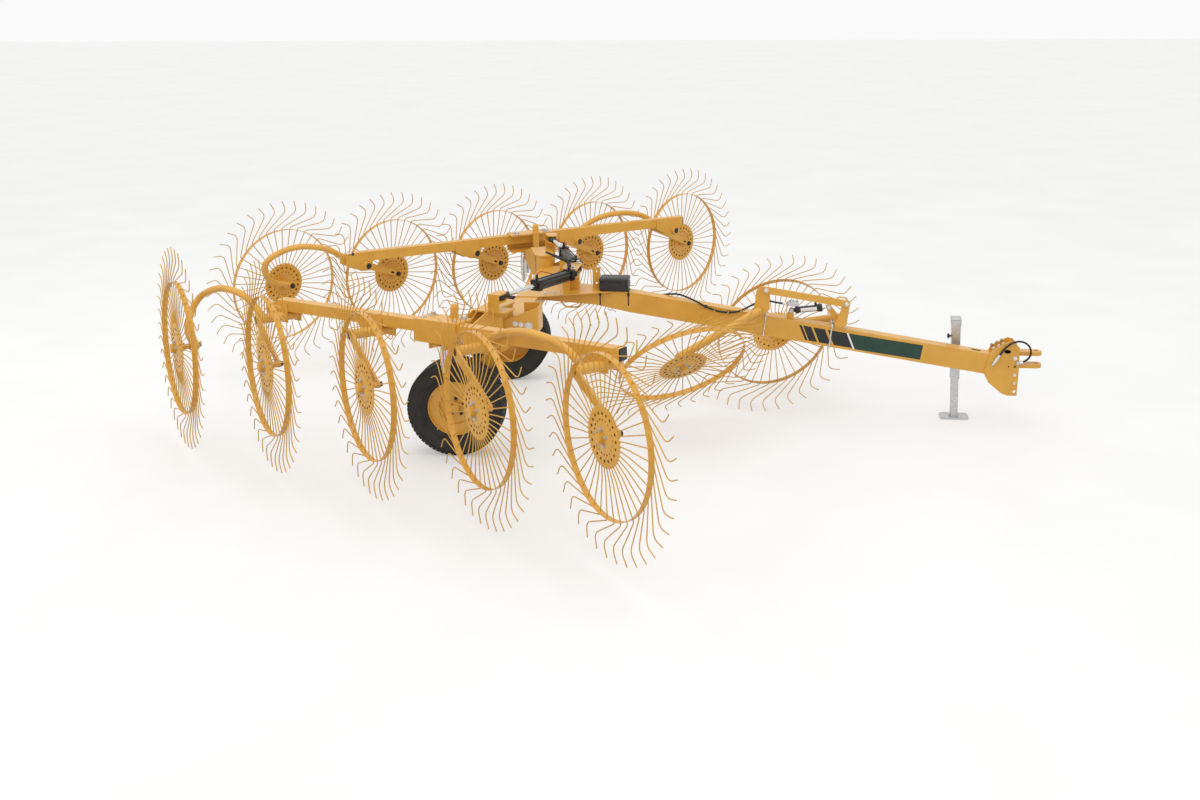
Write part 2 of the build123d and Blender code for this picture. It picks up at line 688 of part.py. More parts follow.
# Right arm pieces, mirrored for the left
def arm_beam():
    start = arm_point(BEAM_FRONT_RUN, BEAM_INSET, BEAM_FRONT_HEIGHT)
    end = arm_point(BEAM_REAR_RUN, BEAM_INSET, BEAM_REAR_HEIGHT)
    run = end - start
    skew = run.normalized() * OVERRUN
    inner = BEAM_SIZE - BEAM_WALL - BEAM_WALL
    beam = bar_between(start, end, BEAM_SIZE, BEAM_SIZE)
    beam = beam - bar_between(start - skew, end + skew, inner, inner)
    for index in range(HUBS_PER_ARM - 1):
        outer_end = pivot_point(index, PIVOT_OUTER)
        inner_end = pivot_point(index, PIVOT_INNER)
        beam = beam + rod_between(outer_end, inner_end, PIVOT_RADIUS)
        for inset in (BEAM_INSET - BEAM_SIZE / 2 - BRACKET_THICK, BEAM_INSET + BEAM_SIZE / 2):
            ahead = inset + BRACKET_THICK / 2 - (inner_end - HUB_ONE).dot(INWARD)
            crossing = inner_end + WHEEL_AXIS * (ahead / WHEEL_AXIS.dot(INWARD))
            at_run = run_of(crossing)
            low = crossing.Z - PIVOT_RADIUS - BRACKET_THICK
            top = beam_height(at_run) + BEAM_SIZE / 4
            points = (
                (at_run - BRACKET_FRONT, top), (at_run + BRACKET_BACK, top - BEAM_SLOPE * BRACKET_BACK),
                (at_run + BRACKET_BACK, top - BEAM_SIZE), (at_run + BRACKET_FRONT, low),
                (at_run - BRACKET_FRONT, low),
            )
            corner = arm_point(0, inset, 0)
            plane = Plane(origin=corner, x_dir=TRAVEL * -1, z_dir=INWARD)
            beam = beam + slab(points, BRACKET_THICK, plane)
    brace_end = pivot_point(0, PIVOT_OUTER + ARCH_RADIUS + PLATE) + UP * (PIVOT_RADIUS / 2)
    beam = beam + bent_tube(row_path(FRONT_BRACE) + [brace_end], ARCH_RADIUS)
    for index in range(HUBS_PER_ARM - 1):
        outer_end = pivot_point(index, PIVOT_OUTER)
        inner_end = pivot_point(index, PIVOT_INNER)
        spare = WHEEL_AXIS * PIVOT_RADIUS
        beam = beam - rod_between(outer_end - spare, inner_end + spare, PIVOT_BORE)
    return beam


def row_path(rows):
    return [arm_point(run, inset, height) for run, inset, height in rows]


# Arched tube of the rear wheel, saddled on the last pivot tube
def rear_arch():
    hub = hub_point(HUBS_PER_ARM - 1)
    boss_low = hub + WHEEL_AXIS * CRANK_OUTER
    boss_high = boss_low + WHEEL_AXIS * ARCH_BOSS_LENGTH
    seat = pivot_point(HUBS_PER_ARM - 2, PIVOT_OUTER + ARCH_RADIUS + PLATE)
    path = [seat] + row_path(REAR_ARCH) + [(boss_low + boss_high) / 2]
    arch = bent_tube(path, ARCH_RADIUS)
    outer_end = pivot_point(HUBS_PER_ARM - 2, 0)
    inner_end = pivot_point(HUBS_PER_ARM - 2, PIVOT_INNER)
    arch = arch - rod_between(outer_end, inner_end, PIVOT_RADIUS + SEAT_GAP)
    axle_end = hub - WHEEL_AXIS * (HUB_OFFSET + HUB_BOSS_LENGTH / 2)
    arch = arch + rod_between(boss_low, boss_high, CRANK_WIDTH_LOW / 2 + PLATE)
    return arch + rod_between(axle_end, boss_high, AXLE_RADIUS)


def arm_cranks():
    cranks = []
    for index in range(HUBS_PER_ARM - 1):
        pivot_out = pivot_point(index, CRANK_OUTER)
        pivot_in = pivot_point(index, PIVOT_INNER)
        hub = hub_point(index)
        shaft = rod_between(pivot_out, pivot_in, PIVOT_BORE - SEAT_GAP)
        low = hub + WHEEL_AXIS * CRANK_OUTER
        web_plane = Plane(origin=low, x_dir=WHEEL_ALONG, z_dir=WHEEL_AXIS)
        rise = pivot_out.Z - hub.Z
        top_half = CRANK_WIDTH_TOP / 2
        low_half = CRANK_WIDTH_LOW / 2
        length = hypot(CRANK_REACH, rise)
        normal_x = rise / length
        normal_y = CRANK_REACH / length
        points = (
            (low_half * normal_x, -low_half * normal_y), (-low_half * normal_x, low_half * normal_y),
            (-CRANK_REACH - top_half * normal_x, -rise + top_half * normal_y),
            (-CRANK_REACH + top_half * normal_x, -rise - top_half * normal_y),
        )
        web = slab(points, CRANK_THICK, web_plane)
        ends = rod_between(low, low + WHEEL_AXIS * CRANK_THICK, low_half)
        ends = ends + rod_between(pivot_out, pivot_out + WHEEL_AXIS * CRANK_THICK, top_half)
        boss_end = hub - WHEEL_AXIS * (HUB_OFFSET + HUB_BOSS_LENGTH / 2)
        axle = rod_between(boss_end, low + WHEEL_AXIS * CRANK_THICK, AXLE_RADIUS)
        cranks.append(shaft + web + ends + axle)
    return cranks


CLAMP_MIDDLE = arm_point(CLAMP_RUN + CLAMP_LENGTH / 2, BEAM_INSET, beam_height(CLAMP_RUN + CLAMP_LENGTH / 2))
CLAMP_FLOOR = BEAM_SIZE / 2 + CLAMP_DROP + CLAMP_WALL / 2


# Channel round the beam, open towards the cart
def clamp_channel():
    outer_face = BEAM_SIZE / 2 + SEAT_GAP
    top = BEAM_SIZE / 2 + SEAT_GAP + CLAMP_WALL / 2
    width = outer_face + CLAMP_WALL + BEAM_SIZE / 2 + CLAMP_REACH
    middle = width / 2 - outer_face - CLAMP_WALL
    walls = (
        # Inset from the beam, rise, width, depth
        (-outer_face - CLAMP_WALL / 2, (top - CLAMP_FLOOR) / 2, CLAMP_WALL, top + CLAMP_FLOOR + CLAMP_WALL),
        (middle, top, width, CLAMP_WALL),
        (middle, -CLAMP_FLOOR, width, CLAMP_WALL),
    )
    front = arm_point(CLAMP_RUN, BEAM_INSET, beam_height(CLAMP_RUN))
    rear_run = CLAMP_RUN + CLAMP_LENGTH
    rear = arm_point(rear_run, BEAM_INSET, beam_height(rear_run))
    channel = None
    for inset, rise, wall_width, depth in walls:
        shift = INWARD * inset + UP * rise
        wall = bar_between(front + shift, rear + shift, wall_width, depth)
        channel = wall if channel is None else channel + wall
    return channel


def swing_bracket():
    centre = Vector(FOLD_X, -FOLD_Y, 0)
    reach = CLAMP_MIDDLE - centre
    reach = Vector(reach.X, reach.Y, 0)
    direction = reach.normalized()
    side = UP.cross(direction)
    top_low = DRUM_TOP + PIN_GAP
    bottom_high = DRUM_BOTTOM - PIN_GAP
    arm = clamp_channel()
    for level in (bottom_high - PLATE, top_low):
        plane = Plane(origin=(FOLD_X, -FOLD_Y, level), x_dir=direction, z_dir=UP)
        length = SWING_START + SWING_EAR_RADIUS if level < top_low else SWING_TOP_LENGTH
        plate = slab(
            ((0, -SWING_EAR_RADIUS), (length, -SWING_HALF), (length, SWING_HALF), (0, SWING_EAR_RADIUS)),
            PLATE, plane)
        plate = plate + Pos(FOLD_X, -FOLD_Y, level + PLATE / 2) * Cylinder(SWING_EAR_RADIUS, PLATE)
        arm = arm + plate
    wall_low = bottom_high - PLATE
    wall_high = top_low + PLATE
    tip = CLAMP_MIDDLE.Z - CLAMP_FLOOR
    far = reach.length + BEAM_SIZE / 2
    near = reach.length - BEAM_SIZE / 2 - CLAMP_REACH
    outline = (
        (SWING_START, wall_low), (SWING_START + SWING_EAR_RADIUS, wall_low), (far, tip - SWING_TIP_DEPTH),
        (far, tip), (near, tip), (SWING_TOP_LENGTH, wall_high), (SWING_START, wall_high),
    )
    for offset in (-SWING_HALF + PLATE, SWING_HALF):
        shift = centre + side * offset
        plane = Plane(origin=shift, x_dir=direction, z_dir=side * -1)
        arm = arm + slab(outline, PLATE, plane)
    post_at = arm_point(POST_RUN, BEAM_INSET + BEAM_SIZE / 2 + CLAMP_REACH, 0)
    post_low = tip - SWING_TIP_DEPTH
    post_high = beam_height(POST_RUN) + BEAM_SIZE / 2 + POST_RISE
    post = rod_between(post_at + UP * post_low, post_at + UP * post_high, POST_RADIUS)
    bracket = arm + post + Pos(post_at.X, post_at.Y, post_high) * Sphere(POST_RADIUS)
    pin_low = centre + UP * (bottom_high - PLATE)
    pin_high = centre + UP * (top_low + PLATE)
    bracket = bracket + rod_between(pin_low, pin_high, FOLD_PIN_RADIUS)
    lug_low = top_low + PLATE
    ear_gap = EYE_THICK / 2 + EYE_GAP
    lug_back = EYE_LUG_HALF + EYE_LUG_HALF
    eye = Vector(EYE_X, -EYE_Y, 0)
    lug_plane = Plane(origin=(EYE_X, -EYE_Y, top_low), x_dir=direction, z_dir=UP)
    foot = slab(
        ((-EYE_LUG_HALF, -EYE_LUG_HALF), (lug_back, -EYE_LUG_HALF),
         (lug_back, lug_back), (-EYE_LUG_HALF, lug_back)),
        PLATE, lug_plane)
    bracket = bracket + foot
    for level in (EYE_HEIGHT - ear_gap - PLATE, EYE_HEIGHT + ear_gap):
        ear = Pos(EYE_X, -EYE_Y, level + PLATE / 2) * Cylinder(EYE_LUG_HALF, PLATE)
        plane = Plane(origin=(EYE_X, -EYE_Y, level), x_dir=direction, z_dir=UP)
        ear = ear + slab(
            ((0, -EYE_LUG_HALF), (lug_back, -EYE_LUG_HALF), (lug_back, EYE_LUG_HALF), (0, EYE_LUG_HALF)),
            PLATE, plane)
        bracket = bracket + ear
    back = Plane(origin=(EYE_X, -EYE_Y, lug_low), x_dir=direction, z_dir=UP)
    wall = slab(
        ((lug_back - PLATE, -EYE_LUG_HALF), (lug_back, -EYE_LUG_HALF), (lug_back, EYE_LUG_HALF),
         (lug_back - PLATE, EYE_LUG_HALF)),
        EYE_HEIGHT + ear_gap + PLATE - lug_low, back)
    eye_pin = rod_between(
        eye + UP * (EYE_HEIGHT - ear_gap - PLATE), eye + UP * (EYE_HEIGHT + ear_gap + PLATE), EYE_PIN_RADIUS)
    return bracket + wall + eye_pin


# Fold cylinder on the right, from its base pin to its rod's eye
CYL_BASE = Vector(BASE_X, -BASE_Y, BASE_HEIGHT)
CYL_EYE = Vector(EYE_X, -EYE_Y, EYE_HEIGHT)


def eye_ring(centre, radius, thick, bore):
    ring = Cylinder(radius, thick) - Cylinder(bore, thick + OVERRUN)
    return Pos(centre.X, centre.Y, centre.Z) * ring


def fold_barrel():
    line = (CYL_EYE - CYL_BASE).normalized()
    start = CYL_BASE + line * BARREL_START
    end = start + line * BARREL_LENGTH
    tube = rod_between(start, end, BARREL_RADIUS)
    caps = bar_between(start, start + line * BARREL_CAP_LENGTH, BARREL_CAP, BARREL_CAP)
    caps = caps + bar_between(end - line * BARREL_CAP_LENGTH, end, BARREL_CAP, BARREL_CAP)
    side = UP.cross(line).normalized()
    over = line.cross(side)
    body = tube + caps
    for across in (-TIE_SPREAD, TIE_SPREAD):
        for lift in (-TIE_SPREAD, TIE_SPREAD):
            shift = side * across + over * lift
            body = body + rod_between(start + shift, end + shift, TIE_RADIUS)
    neck_start = CYL_BASE + line * (EYE_PIN_RADIUS + SEAT_GAP)
    neck = bar_between(neck_start, start + line * OVERRUN, EYE_RADIUS, EYE_THICK)
    body = body + neck + eye_ring(CYL_BASE, EYE_RADIUS, EYE_THICK, EYE_PIN_RADIUS + RUN_FIT)
    body = body - rod_between(CYL_BASE - UP * EYE_THICK, CYL_BASE + UP * EYE_THICK, EYE_PIN_RADIUS + RUN_FIT)
    bore = rod_between(start + line * BARREL_CAP_LENGTH, end + line * OVERRUN, ROD_RADIUS + ROD_FIT)
    return body - bore


def fold_rod():
    line = (CYL_EYE - CYL_BASE).normalized()
    barrel_end = BARREL_START + BARREL_LENGTH
    start = CYL_BASE + line * (barrel_end - ROD_INSIDE)
    rod = rod_between(start, CYL_EYE - line * (EYE_RADIUS - OVERRUN), ROD_RADIUS)
    bore = EYE_PIN_RADIUS + EYE_DRIFT
    ring = eye_ring(CYL_EYE, EYE_RADIUS + EYE_DRIFT, EYE_THICK, bore)
    return rod + ring


# Kicker linkage
KICK_SHAFT_RISE = KICK_BEARING_RADIUS + THIN_PLATE + PIN_GAP
KICK_REAR = Vector(KICK_REAR_X, 0, bar_top(KICK_REAR_X) + KICK_SHAFT_RISE)
KICK_FRONT = Vector(KICK_FRONT_X, 0, bar_top(KICK_FRONT_X) + KICK_SHAFT_RISE)
KICK_LINK = Vector(KICK_LINK_X, 0, KICK_LINK_RISE)
KICK_CYL_BASE = Vector(KICK_BASE_X, 0, bar_top(KICK_BASE_X) + KICK_BASE_RISE)
KICK_CYL_EYE = KICK_FRONT + Vector(KICK_LEVER_X, 0, KICK_LEVER_RISE)


def kicker_bearings():
    solids = []
    for shaft in (KICK_REAR, KICK_FRONT):
        length = KICK_BEARING_RADIUS
        top_rear = bar_top(shaft.X - length)
        top_front = bar_top(shaft.X + length)
        saddle = None
        for side in (-1, 1):
            low, high = sorted((side * KICK_BEARING_INNER, side * KICK_BEARING_OUTER))
            ring_low = Vector(shaft.X, low, shaft.Z)
            ring = rod_between(ring_low, Vector(shaft.X, high, shaft.Z), KICK_BEARING_RADIUS)
            points = (
                (shaft.X - length, top_rear), (shaft.X - length, shaft.Z), (shaft.X + length, shaft.Z),
                (shaft.X + length, top_front),
            )
            foot = slab(points, high - low, side_plane(high))
            saddle = ring + foot if saddle is None else saddle + ring + foot
        plate_points = (
            (shaft.X - length - length, bar_top(shaft.X - length - length)),
            (shaft.X - length - length, bar_top(shaft.X - length - length) + THIN_PLATE),
            (shaft.X + length + length, bar_top(shaft.X + length + length) + THIN_PLATE),
            (shaft.X + length + length, bar_top(shaft.X + length + length)),
        )
        half = KICK_BEARING_OUTER
        saddle = saddle + slab(plate_points, half + half, side_plane(half))
        reach = Vector(0, BAR_WIDTH, 0)
        bore = rod_between(shaft - reach, shaft + reach, KICK_SHAFT_RADIUS + RUN_FIT)
        solids.append(saddle - bore)
    base = KICK_CYL_BASE
    half = KICK_EYE_THICK / 2 + PIN_GAP
    lug = None
    for low, high in ((-half - THIN_PLATE, -half), (half, half + THIN_PLATE)):
        ear = rod_between(Vector(base.X, low, base.Z), Vector(base.X, high, base.Z), KICK_EYE_RADIUS)
        width = KICK_EYE_RADIUS
        points = (
            (base.X - width - width, bar_top(base.X - width - width)), (base.X - width, base.Z),
            (base.X + width, base.Z), (base.X + width, bar_top(base.X + width)),
        )
        ear = ear + slab(points, high - low, side_plane(high))
        lug = ear if lug is None else lug + ear
    port_low = PORT_X + SEAT_GAP
    port_high = port_low + THIN_PLATE
    port_points = (
        (port_low, bar_top(port_low)), (port_low, PORT_TOP),
        (port_high, PORT_TOP), (port_high, bar_top(port_high)),
    )
    lug = lug + slab(port_points, PORT_OUTER - half, side_plane(-half))
    reach = half + THIN_PLATE
    lug = lug + rod_between(Vector(base.X, -reach, base.Z), Vector(base.X, reach, base.Z), KICK_PIN_RADIUS)
    solids.append(lug)
    return solids


def kicker_rocker(shaft, hub, left, lever):
    side = 1 if left else -1
    reach = KICK_PLATE_Y + KICK_PLATE
    rod = rod_between(Vector(shaft.X, -reach, shaft.Z), Vector(shaft.X, reach, shaft.Z), KICK_SHAFT_RADIUS)
    top = shaft + KICK_LINK
    half = KICK_BEARING_RADIUS
    pin_half = KICK_PIN_RADIUS + PLATE
    upright = slab(
        ((shaft.X - half, shaft.Z), (top.X - pin_half, top.Z),
         (top.X + pin_half, top.Z), (shaft.X + half, shaft.Z)),
        KICK_PLATE, side_plane(-KICK_PLATE_Y))
    inner = Vector(0, -KICK_PLATE_Y, 0)
    outer = Vector(0, -KICK_PLATE_Y - KICK_PLATE, 0)
    upright = upright + rod_between(shaft + inner, shaft + outer, half)
    upright = upright + rod_between(top + inner, top + outer, pin_half)
    pin_end = Vector(0, -KICK_LINK_Y - KICK_PLATE - PIN_GAP, 0)
    rocker = rod + upright + rod_between(top + inner, top + pin_end, KICK_PIN_RADIUS)
    axis = Vector(-KICK_NORMAL[0], -side * KICK_NORMAL[1], KICK_NORMAL[2]).normalized()
    centre = Vector(hub[0], side * hub[1], hub[2])
    axle_in = centre + axis * (HUB_BOSS_LENGTH / 2 + CRANK_THICK)
    axle_out = centre - axis * (HUB_OFFSET + HUB_BOSS_LENGTH / 2)
    rocker = rocker + rod_between(axle_out, axle_in, AXLE_RADIUS)
    elbow = Vector(shaft.X, side * (reach + KICK_ARM_RADIUS), shaft.Z)
    arm = rod_between(elbow, axle_in, KICK_ARM_RADIUS) + Pos(*elbow) * Sphere(KICK_ARM_RADIUS)
    arm = arm + rod_between(Vector(shaft.X, side * KICK_PLATE_Y, shaft.Z), elbow, KICK_ARM_RADIUS)
    arm = arm + rod_between(axle_in - axis * CRANK_THICK, axle_in + axis * CRANK_THICK, KICK_ARM_RADIUS)
    rocker = rocker + arm
    if lever:
        eye = shaft + Vector(KICK_LEVER_X, 0, KICK_LEVER_RISE)
        half_gap = KICK_EYE_THICK / 2 + PIN_GAP
        wide = KICK_BEARING_INNER - PIN_GAP
        for low, high in ((-wide, -half_gap), (half_gap, wide)):
            lever_plate = slab(
                ((shaft.X - half, shaft.Z), (eye.X - pin_half, eye.Z), (eye.X + pin_half, eye.Z),
                 (shaft.X + half, shaft.Z)),
                high - low, side_plane(high))
            lever_plate = lever_plate + rod_between(
                Vector(eye.X, low, eye.Z), Vector(eye.X, high, eye.Z), pin_half)
            rocker = rocker + lever_plate
        rocker = rocker + rod_between(
            Vector(eye.X, -wide, eye.Z), Vector(eye.X, wide, eye.Z), KICK_PIN_RADIUS)
        rocker = rocker + rod_between(
            Vector(shaft.X, -wide, shaft.Z), Vector(shaft.X, wide, shaft.Z), half)
    return rocker


def kicker_link():
    rear = KICK_REAR + KICK_LINK
    front = KICK_FRONT + KICK_LINK
    half = KICK_LINK_DEPTH / 2
    inner = Vector(0, -KICK_LINK_Y, 0)
    outer = Vector(0, -KICK_LINK_Y - KICK_PLATE, 0)
    run = (front - rear).normalized()
    over = Vector(-run.Z, 0, run.X)
    points = []
    for place, lift in ((rear, -half), (front, -half), (front, half), (rear, half)):
        corner = place + over * lift
        points.append((corner.X, corner.Z))
    bar = slab(points, KICK_PLATE, side_plane(-KICK_LINK_Y))
    for place in (rear, front):
        bar = bar + rod_between(place + inner, place + outer, half)
    for place in (rear, front):
        bore = KICK_PIN_RADIUS + RUN_FIT
        bar = bar - rod_between(place, place + outer + outer, bore)
    return bar


def flat_eye(centre, radius, thick, bore):
    half = Vector(0, thick / 2, 0)
    ring = rod_between(centre - half, centre + half, radius)
    return ring - rod_between(centre - half - half, centre + half + half, bore)


def kicker_barrel():
    line = (KICK_CYL_EYE - KICK_CYL_BASE).normalized()
    start = KICK_CYL_BASE + line * KICK_BARREL_START
    end = start + line * KICK_BARREL_LENGTH
    body = rod_between(start, end, KICK_BARREL_RADIUS)
    neck_start = KICK_CYL_BASE + line * KICK_EYE_RADIUS / 2
    body = body + rod_between(neck_start, start + line * OVERRUN, KICK_ROD_RADIUS)
    body = body + flat_eye(KICK_CYL_BASE, KICK_EYE_RADIUS, KICK_EYE_THICK, KICK_PIN_RADIUS + RUN_FIT)
    body = body - rod_between(
        KICK_CYL_BASE - Vector(0, KICK_EYE_THICK, 0), KICK_CYL_BASE + Vector(0, KICK_EYE_THICK, 0),
        KICK_PIN_RADIUS + RUN_FIT)
    bore = rod_between(start + line * KICK_BARREL_START, end + line * OVERRUN, KICK_ROD_RADIUS + ROD_FIT)
    return body - bore


def kicker_rod():
    line = (KICK_CYL_EYE - KICK_CYL_BASE).normalized()
    start = KICK_CYL_BASE + line * (KICK_BARREL_START + KICK_BARREL_START + PLATE)
    bore = KICK_PIN_RADIUS + KICK_EYE_DRIFT
    rod = rod_between(start, KICK_CYL_EYE - line * (KICK_EYE_RADIUS - PIN_GAP), KICK_ROD_RADIUS)
    return rod + flat_eye(KICK_CYL_EYE, KICK_EYE_RADIUS + KICK_EYE_DRIFT, KICK_EYE_THICK, bore)


def manual_box():
    low = CROSS_TOP + THIN_PLATE
    box = block(BOX_REAR_X, BOX_REAR_X + BOX_LENGTH, -BOX_WIDTH / 2, BOX_WIDTH / 2, low, low + BOX_HEIGHT)
    return fillet(box.edges().filter_by(Axis.Z), BOX_FILLET)


# Hoses and the coupler at the end of the hitch hose
def hose(route):
    points = [Vector(*place) for place in route]
    tube = bent_tube(points, HOSE_RADIUS)
    print("hose radii", [round(radius) for radius in arc_radii(points)])
    return tube


def hose_coupler():
    top = Vector(*HITCH_HOSE[0])
    line = (top - Vector(*HITCH_HOSE[1])).normalized()
    start = top + line * SEAT_GAP
    shoulder = start + line * COUPLER_LENGTH * (1 - COUPLER_TIP_SHARE)
    body = rod_between(start, shoulder, COUPLER_RADIUS)
    return body + rod_between(shoulder, start + line * COUPLER_LENGTH, COUPLER_TIP_RADIUS)


def save(shape, name):
    if isinstance(shape, (list, tuple)):
        shape = Compound(children=[TO_PIN * piece for piece in shape])
        export_step(shape, "parts/" + name + ".step")
        return
    export_step(TO_PIN * shape, "parts/" + name + ".step")


def main():
    os.makedirs("parts", exist_ok=True)
    save(drawbar(), "drawbar")
    save(hitch_head(), "hitch_head")
    save(jack_tube(), "jack_tube")
    save(jack_leg(), "jack_leg")
    save(cart_frame(), "cart_frame")
    save(fold_anchor(), "fold_anchor")
    save(manual_box(), "manual_box")
    save(kicker_bearings(), "kicker_bearings")
    save(kicker_rocker(KICK_REAR, KICK_HUB_REAR, False, False), "kicker_rocker_rear")
    save(kicker_rocker(KICK_FRONT, KICK_HUB_FRONT, True, True), "kicker_rocker_front")
    save(kicker_link(), "kicker_link")
    save(kicker_barrel(), "kicker_barrel")
    save(kicker_rod(), "kicker_rod")
    save(hose(LIFT_HOSE), "lift_hose")
    save(hose(HITCH_HOSE), "hitch_hose")
    save(hose_coupler(), "hose_coupler")
    pieces = {
        "beam": arm_beam(),
        "rear_arch": rear_arch(),
        "swing_bracket": swing_bracket(),
        "fold_barrel": fold_barrel(),
        "fold_rod": fold_rod(),
    }
    for name, piece in pieces.items():
        save(piece, "right_" + name)
        save(mirror(piece, about=MIRROR_PLANE), "left_" + name)
    cranks = arm_cranks()
    save(cranks, "right_cranks")
    save([mirror(piece, about=MIRROR_PLANE) for piece in cranks], "left_cranks")
    rubber = tyre()
    for side, name in ((-1, "right"), (1, "left")):
        place = Pos(0, side * TRACK / 2, AXLE_HEIGHT)
        save(place * rubber, name + "_tyre")
        save(place * rim(side), name + "_rim")
    right_wheel = rake_wheel(True)
    left_wheel = rake_wheel(False)
    for index in range(HUBS_PER_ARM):
        centre = hub_point(index)
        place = wheel_place(centre, WHEEL_AXIS, False)
        save(place.location * right_wheel, "right_rake_wheel_" + str(index + 1))
        flipped = Vector(centre.X, -centre.Y, centre.Z)
        axis = Vector(WHEEL_AXIS.X, -WHEEL_AXIS.Y, 0)
        place = wheel_place(flipped, axis, True)
        save(place.location * left_wheel, "left_rake_wheel_" + str(index + 1))
    axis = Vector(-KICK_NORMAL[0], KICK_NORMAL[1], KICK_NORMAL[2]).normalized()
    centre = Vector(KICK_HUB_REAR[0], -KICK_HUB_REAR[1], KICK_HUB_REAR[2])
    save(wheel_place(centre, axis, False).location * right_wheel, "kicker_wheel_right")
    axis = Vector(-KICK_NORMAL[0], -KICK_NORMAL[1], KICK_NORMAL[2]).normalized()
    centre = Vector(*KICK_HUB_FRONT)
    save(wheel_place(centre, axis, True).location * left_wheel, "kicker_wheel_left")


main()
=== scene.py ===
import json
import math

import bmesh
import bpy
from mathutils import Matrix, Vector


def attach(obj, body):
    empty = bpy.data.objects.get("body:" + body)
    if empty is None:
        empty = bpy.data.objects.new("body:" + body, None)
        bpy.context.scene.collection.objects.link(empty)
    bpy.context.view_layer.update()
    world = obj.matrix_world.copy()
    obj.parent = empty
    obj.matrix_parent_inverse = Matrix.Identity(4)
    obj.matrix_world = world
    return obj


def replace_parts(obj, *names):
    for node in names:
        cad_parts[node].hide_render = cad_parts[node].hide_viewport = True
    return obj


bl_info = {
    "name": "Carted wheel rake",
    "version": (1, 0, 0),
    "blender": (4, 5, 0),
    "location": "View3D > Sidebar > Rake",
    "description": "Dresses the carted wheel rake with tined wheels, tyres, hoses, paint and a studio",
    "category": "Object",
}

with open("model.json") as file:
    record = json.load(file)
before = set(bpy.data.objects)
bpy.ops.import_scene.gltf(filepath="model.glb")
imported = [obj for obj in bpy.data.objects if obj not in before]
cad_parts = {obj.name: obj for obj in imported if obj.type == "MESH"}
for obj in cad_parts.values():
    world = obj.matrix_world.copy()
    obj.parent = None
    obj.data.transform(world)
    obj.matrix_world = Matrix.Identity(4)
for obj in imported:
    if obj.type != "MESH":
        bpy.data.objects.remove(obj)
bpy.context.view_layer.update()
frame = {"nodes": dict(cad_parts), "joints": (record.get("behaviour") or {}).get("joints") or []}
JOINTS = {joint["name"]: joint for joint in frame["joints"]}
MATERIALS = {}
MM = 0.001
# Where the hitch pin's middle lies, from the ground below the axle
PIN_HEIGHT = 0.5
PIN_AHEAD = 4.04
SIDES = (("right", -1), ("left", 1))
UP = Vector((0, 0, 1))
FORWARD = Vector((1, 0, 0))
LEFTWARD = Vector((0, 1, 0))
RIGHTWARD = Vector((0, -1, 0))
# A film, or the shading of a hole, stands this far off its face
FILM = 0.0004


def at(x, y, z):
    """A place measured from the ground below the axle, in millimetres, in the frame's own metres."""
    return Vector((x * MM - PIN_AHEAD, y * MM, z * MM - PIN_HEIGHT))


def round_steps(count, shift=0.0):
    """Angles spread evenly over a full turn, the first one at a share of a step."""
    return [2 * math.pi * (k + shift) / count for k in range(count)]


def spokes(count, shift):
    """Directions spread evenly about Z."""
    return [Vector((math.cos(a), math.sin(a), 0)) for a in round_steps(count, shift)]


# Colours and node building
def linear(code, alpha=1.0):
    """An sRGB hex code as linear light."""
    shares = [int(code[i:i + 2], 16) / 255 for i in (1, 3, 5)]
    return tuple(c / 12.92 if c <= 0.04045 else ((c + 0.055) / 1.055) ** 2.4 for c in shares) + (alpha,)


def add(tree, kind, settings=None, inputs=None):
    """One shader node with its settings; an input is a plain value or another node's output."""
    node = tree.nodes.new(kind)
    for name, value in (settings or {}).items():
        setattr(node, name, value)
    for name, value in (inputs or {}).items():
        socket = node.inputs[name]
        if isinstance(value, bpy.types.NodeSocket):
            tree.links.new(value, socket)
        else:
            socket.default_value = value
    return node


def blank(name):
    """An empty material with its tree, surface shader and object coordinates."""
    material = bpy.data.materials.new(name)
    material.use_nodes = True
    tree = material.node_tree
    tree.nodes.clear()
    shader = add(tree, "ShaderNodeBsdfPrincipled")
    add(tree, "ShaderNodeOutputMaterial", inputs={"Surface": shader.outputs["BSDF"]})
    return material, tree, shader, add(tree, "ShaderNodeTexCoord").outputs["Object"]


def per_metre(millimetres):
    """Noise scale that gives features of the stated size."""
    return 1.0 / (millimetres * MM)


# A noise lies mostly between these two, and its patches meet between the stops
NOISE_LOW, NOISE_HIGH = 0.3, 0.7
PATCH_STOPS = (0.35, 0.65)


def mottled(tree, dark, light, size, place):
    """Two colours spread by a noise of a real size."""
    spots = add(tree, "ShaderNodeTexNoise", inputs={"Vector": place, "Scale": per_metre(size), "Detail": 3.0})
    ramp = add(tree, "ShaderNodeValToRGB", inputs={"Fac": spots.outputs["Fac"]})
    for stop, position, colour in zip(ramp.color_ramp.elements, PATCH_STOPS, (dark, light)):
        stop.position = position
        stop.color = linear(colour)
    return ramp.outputs["Color"]


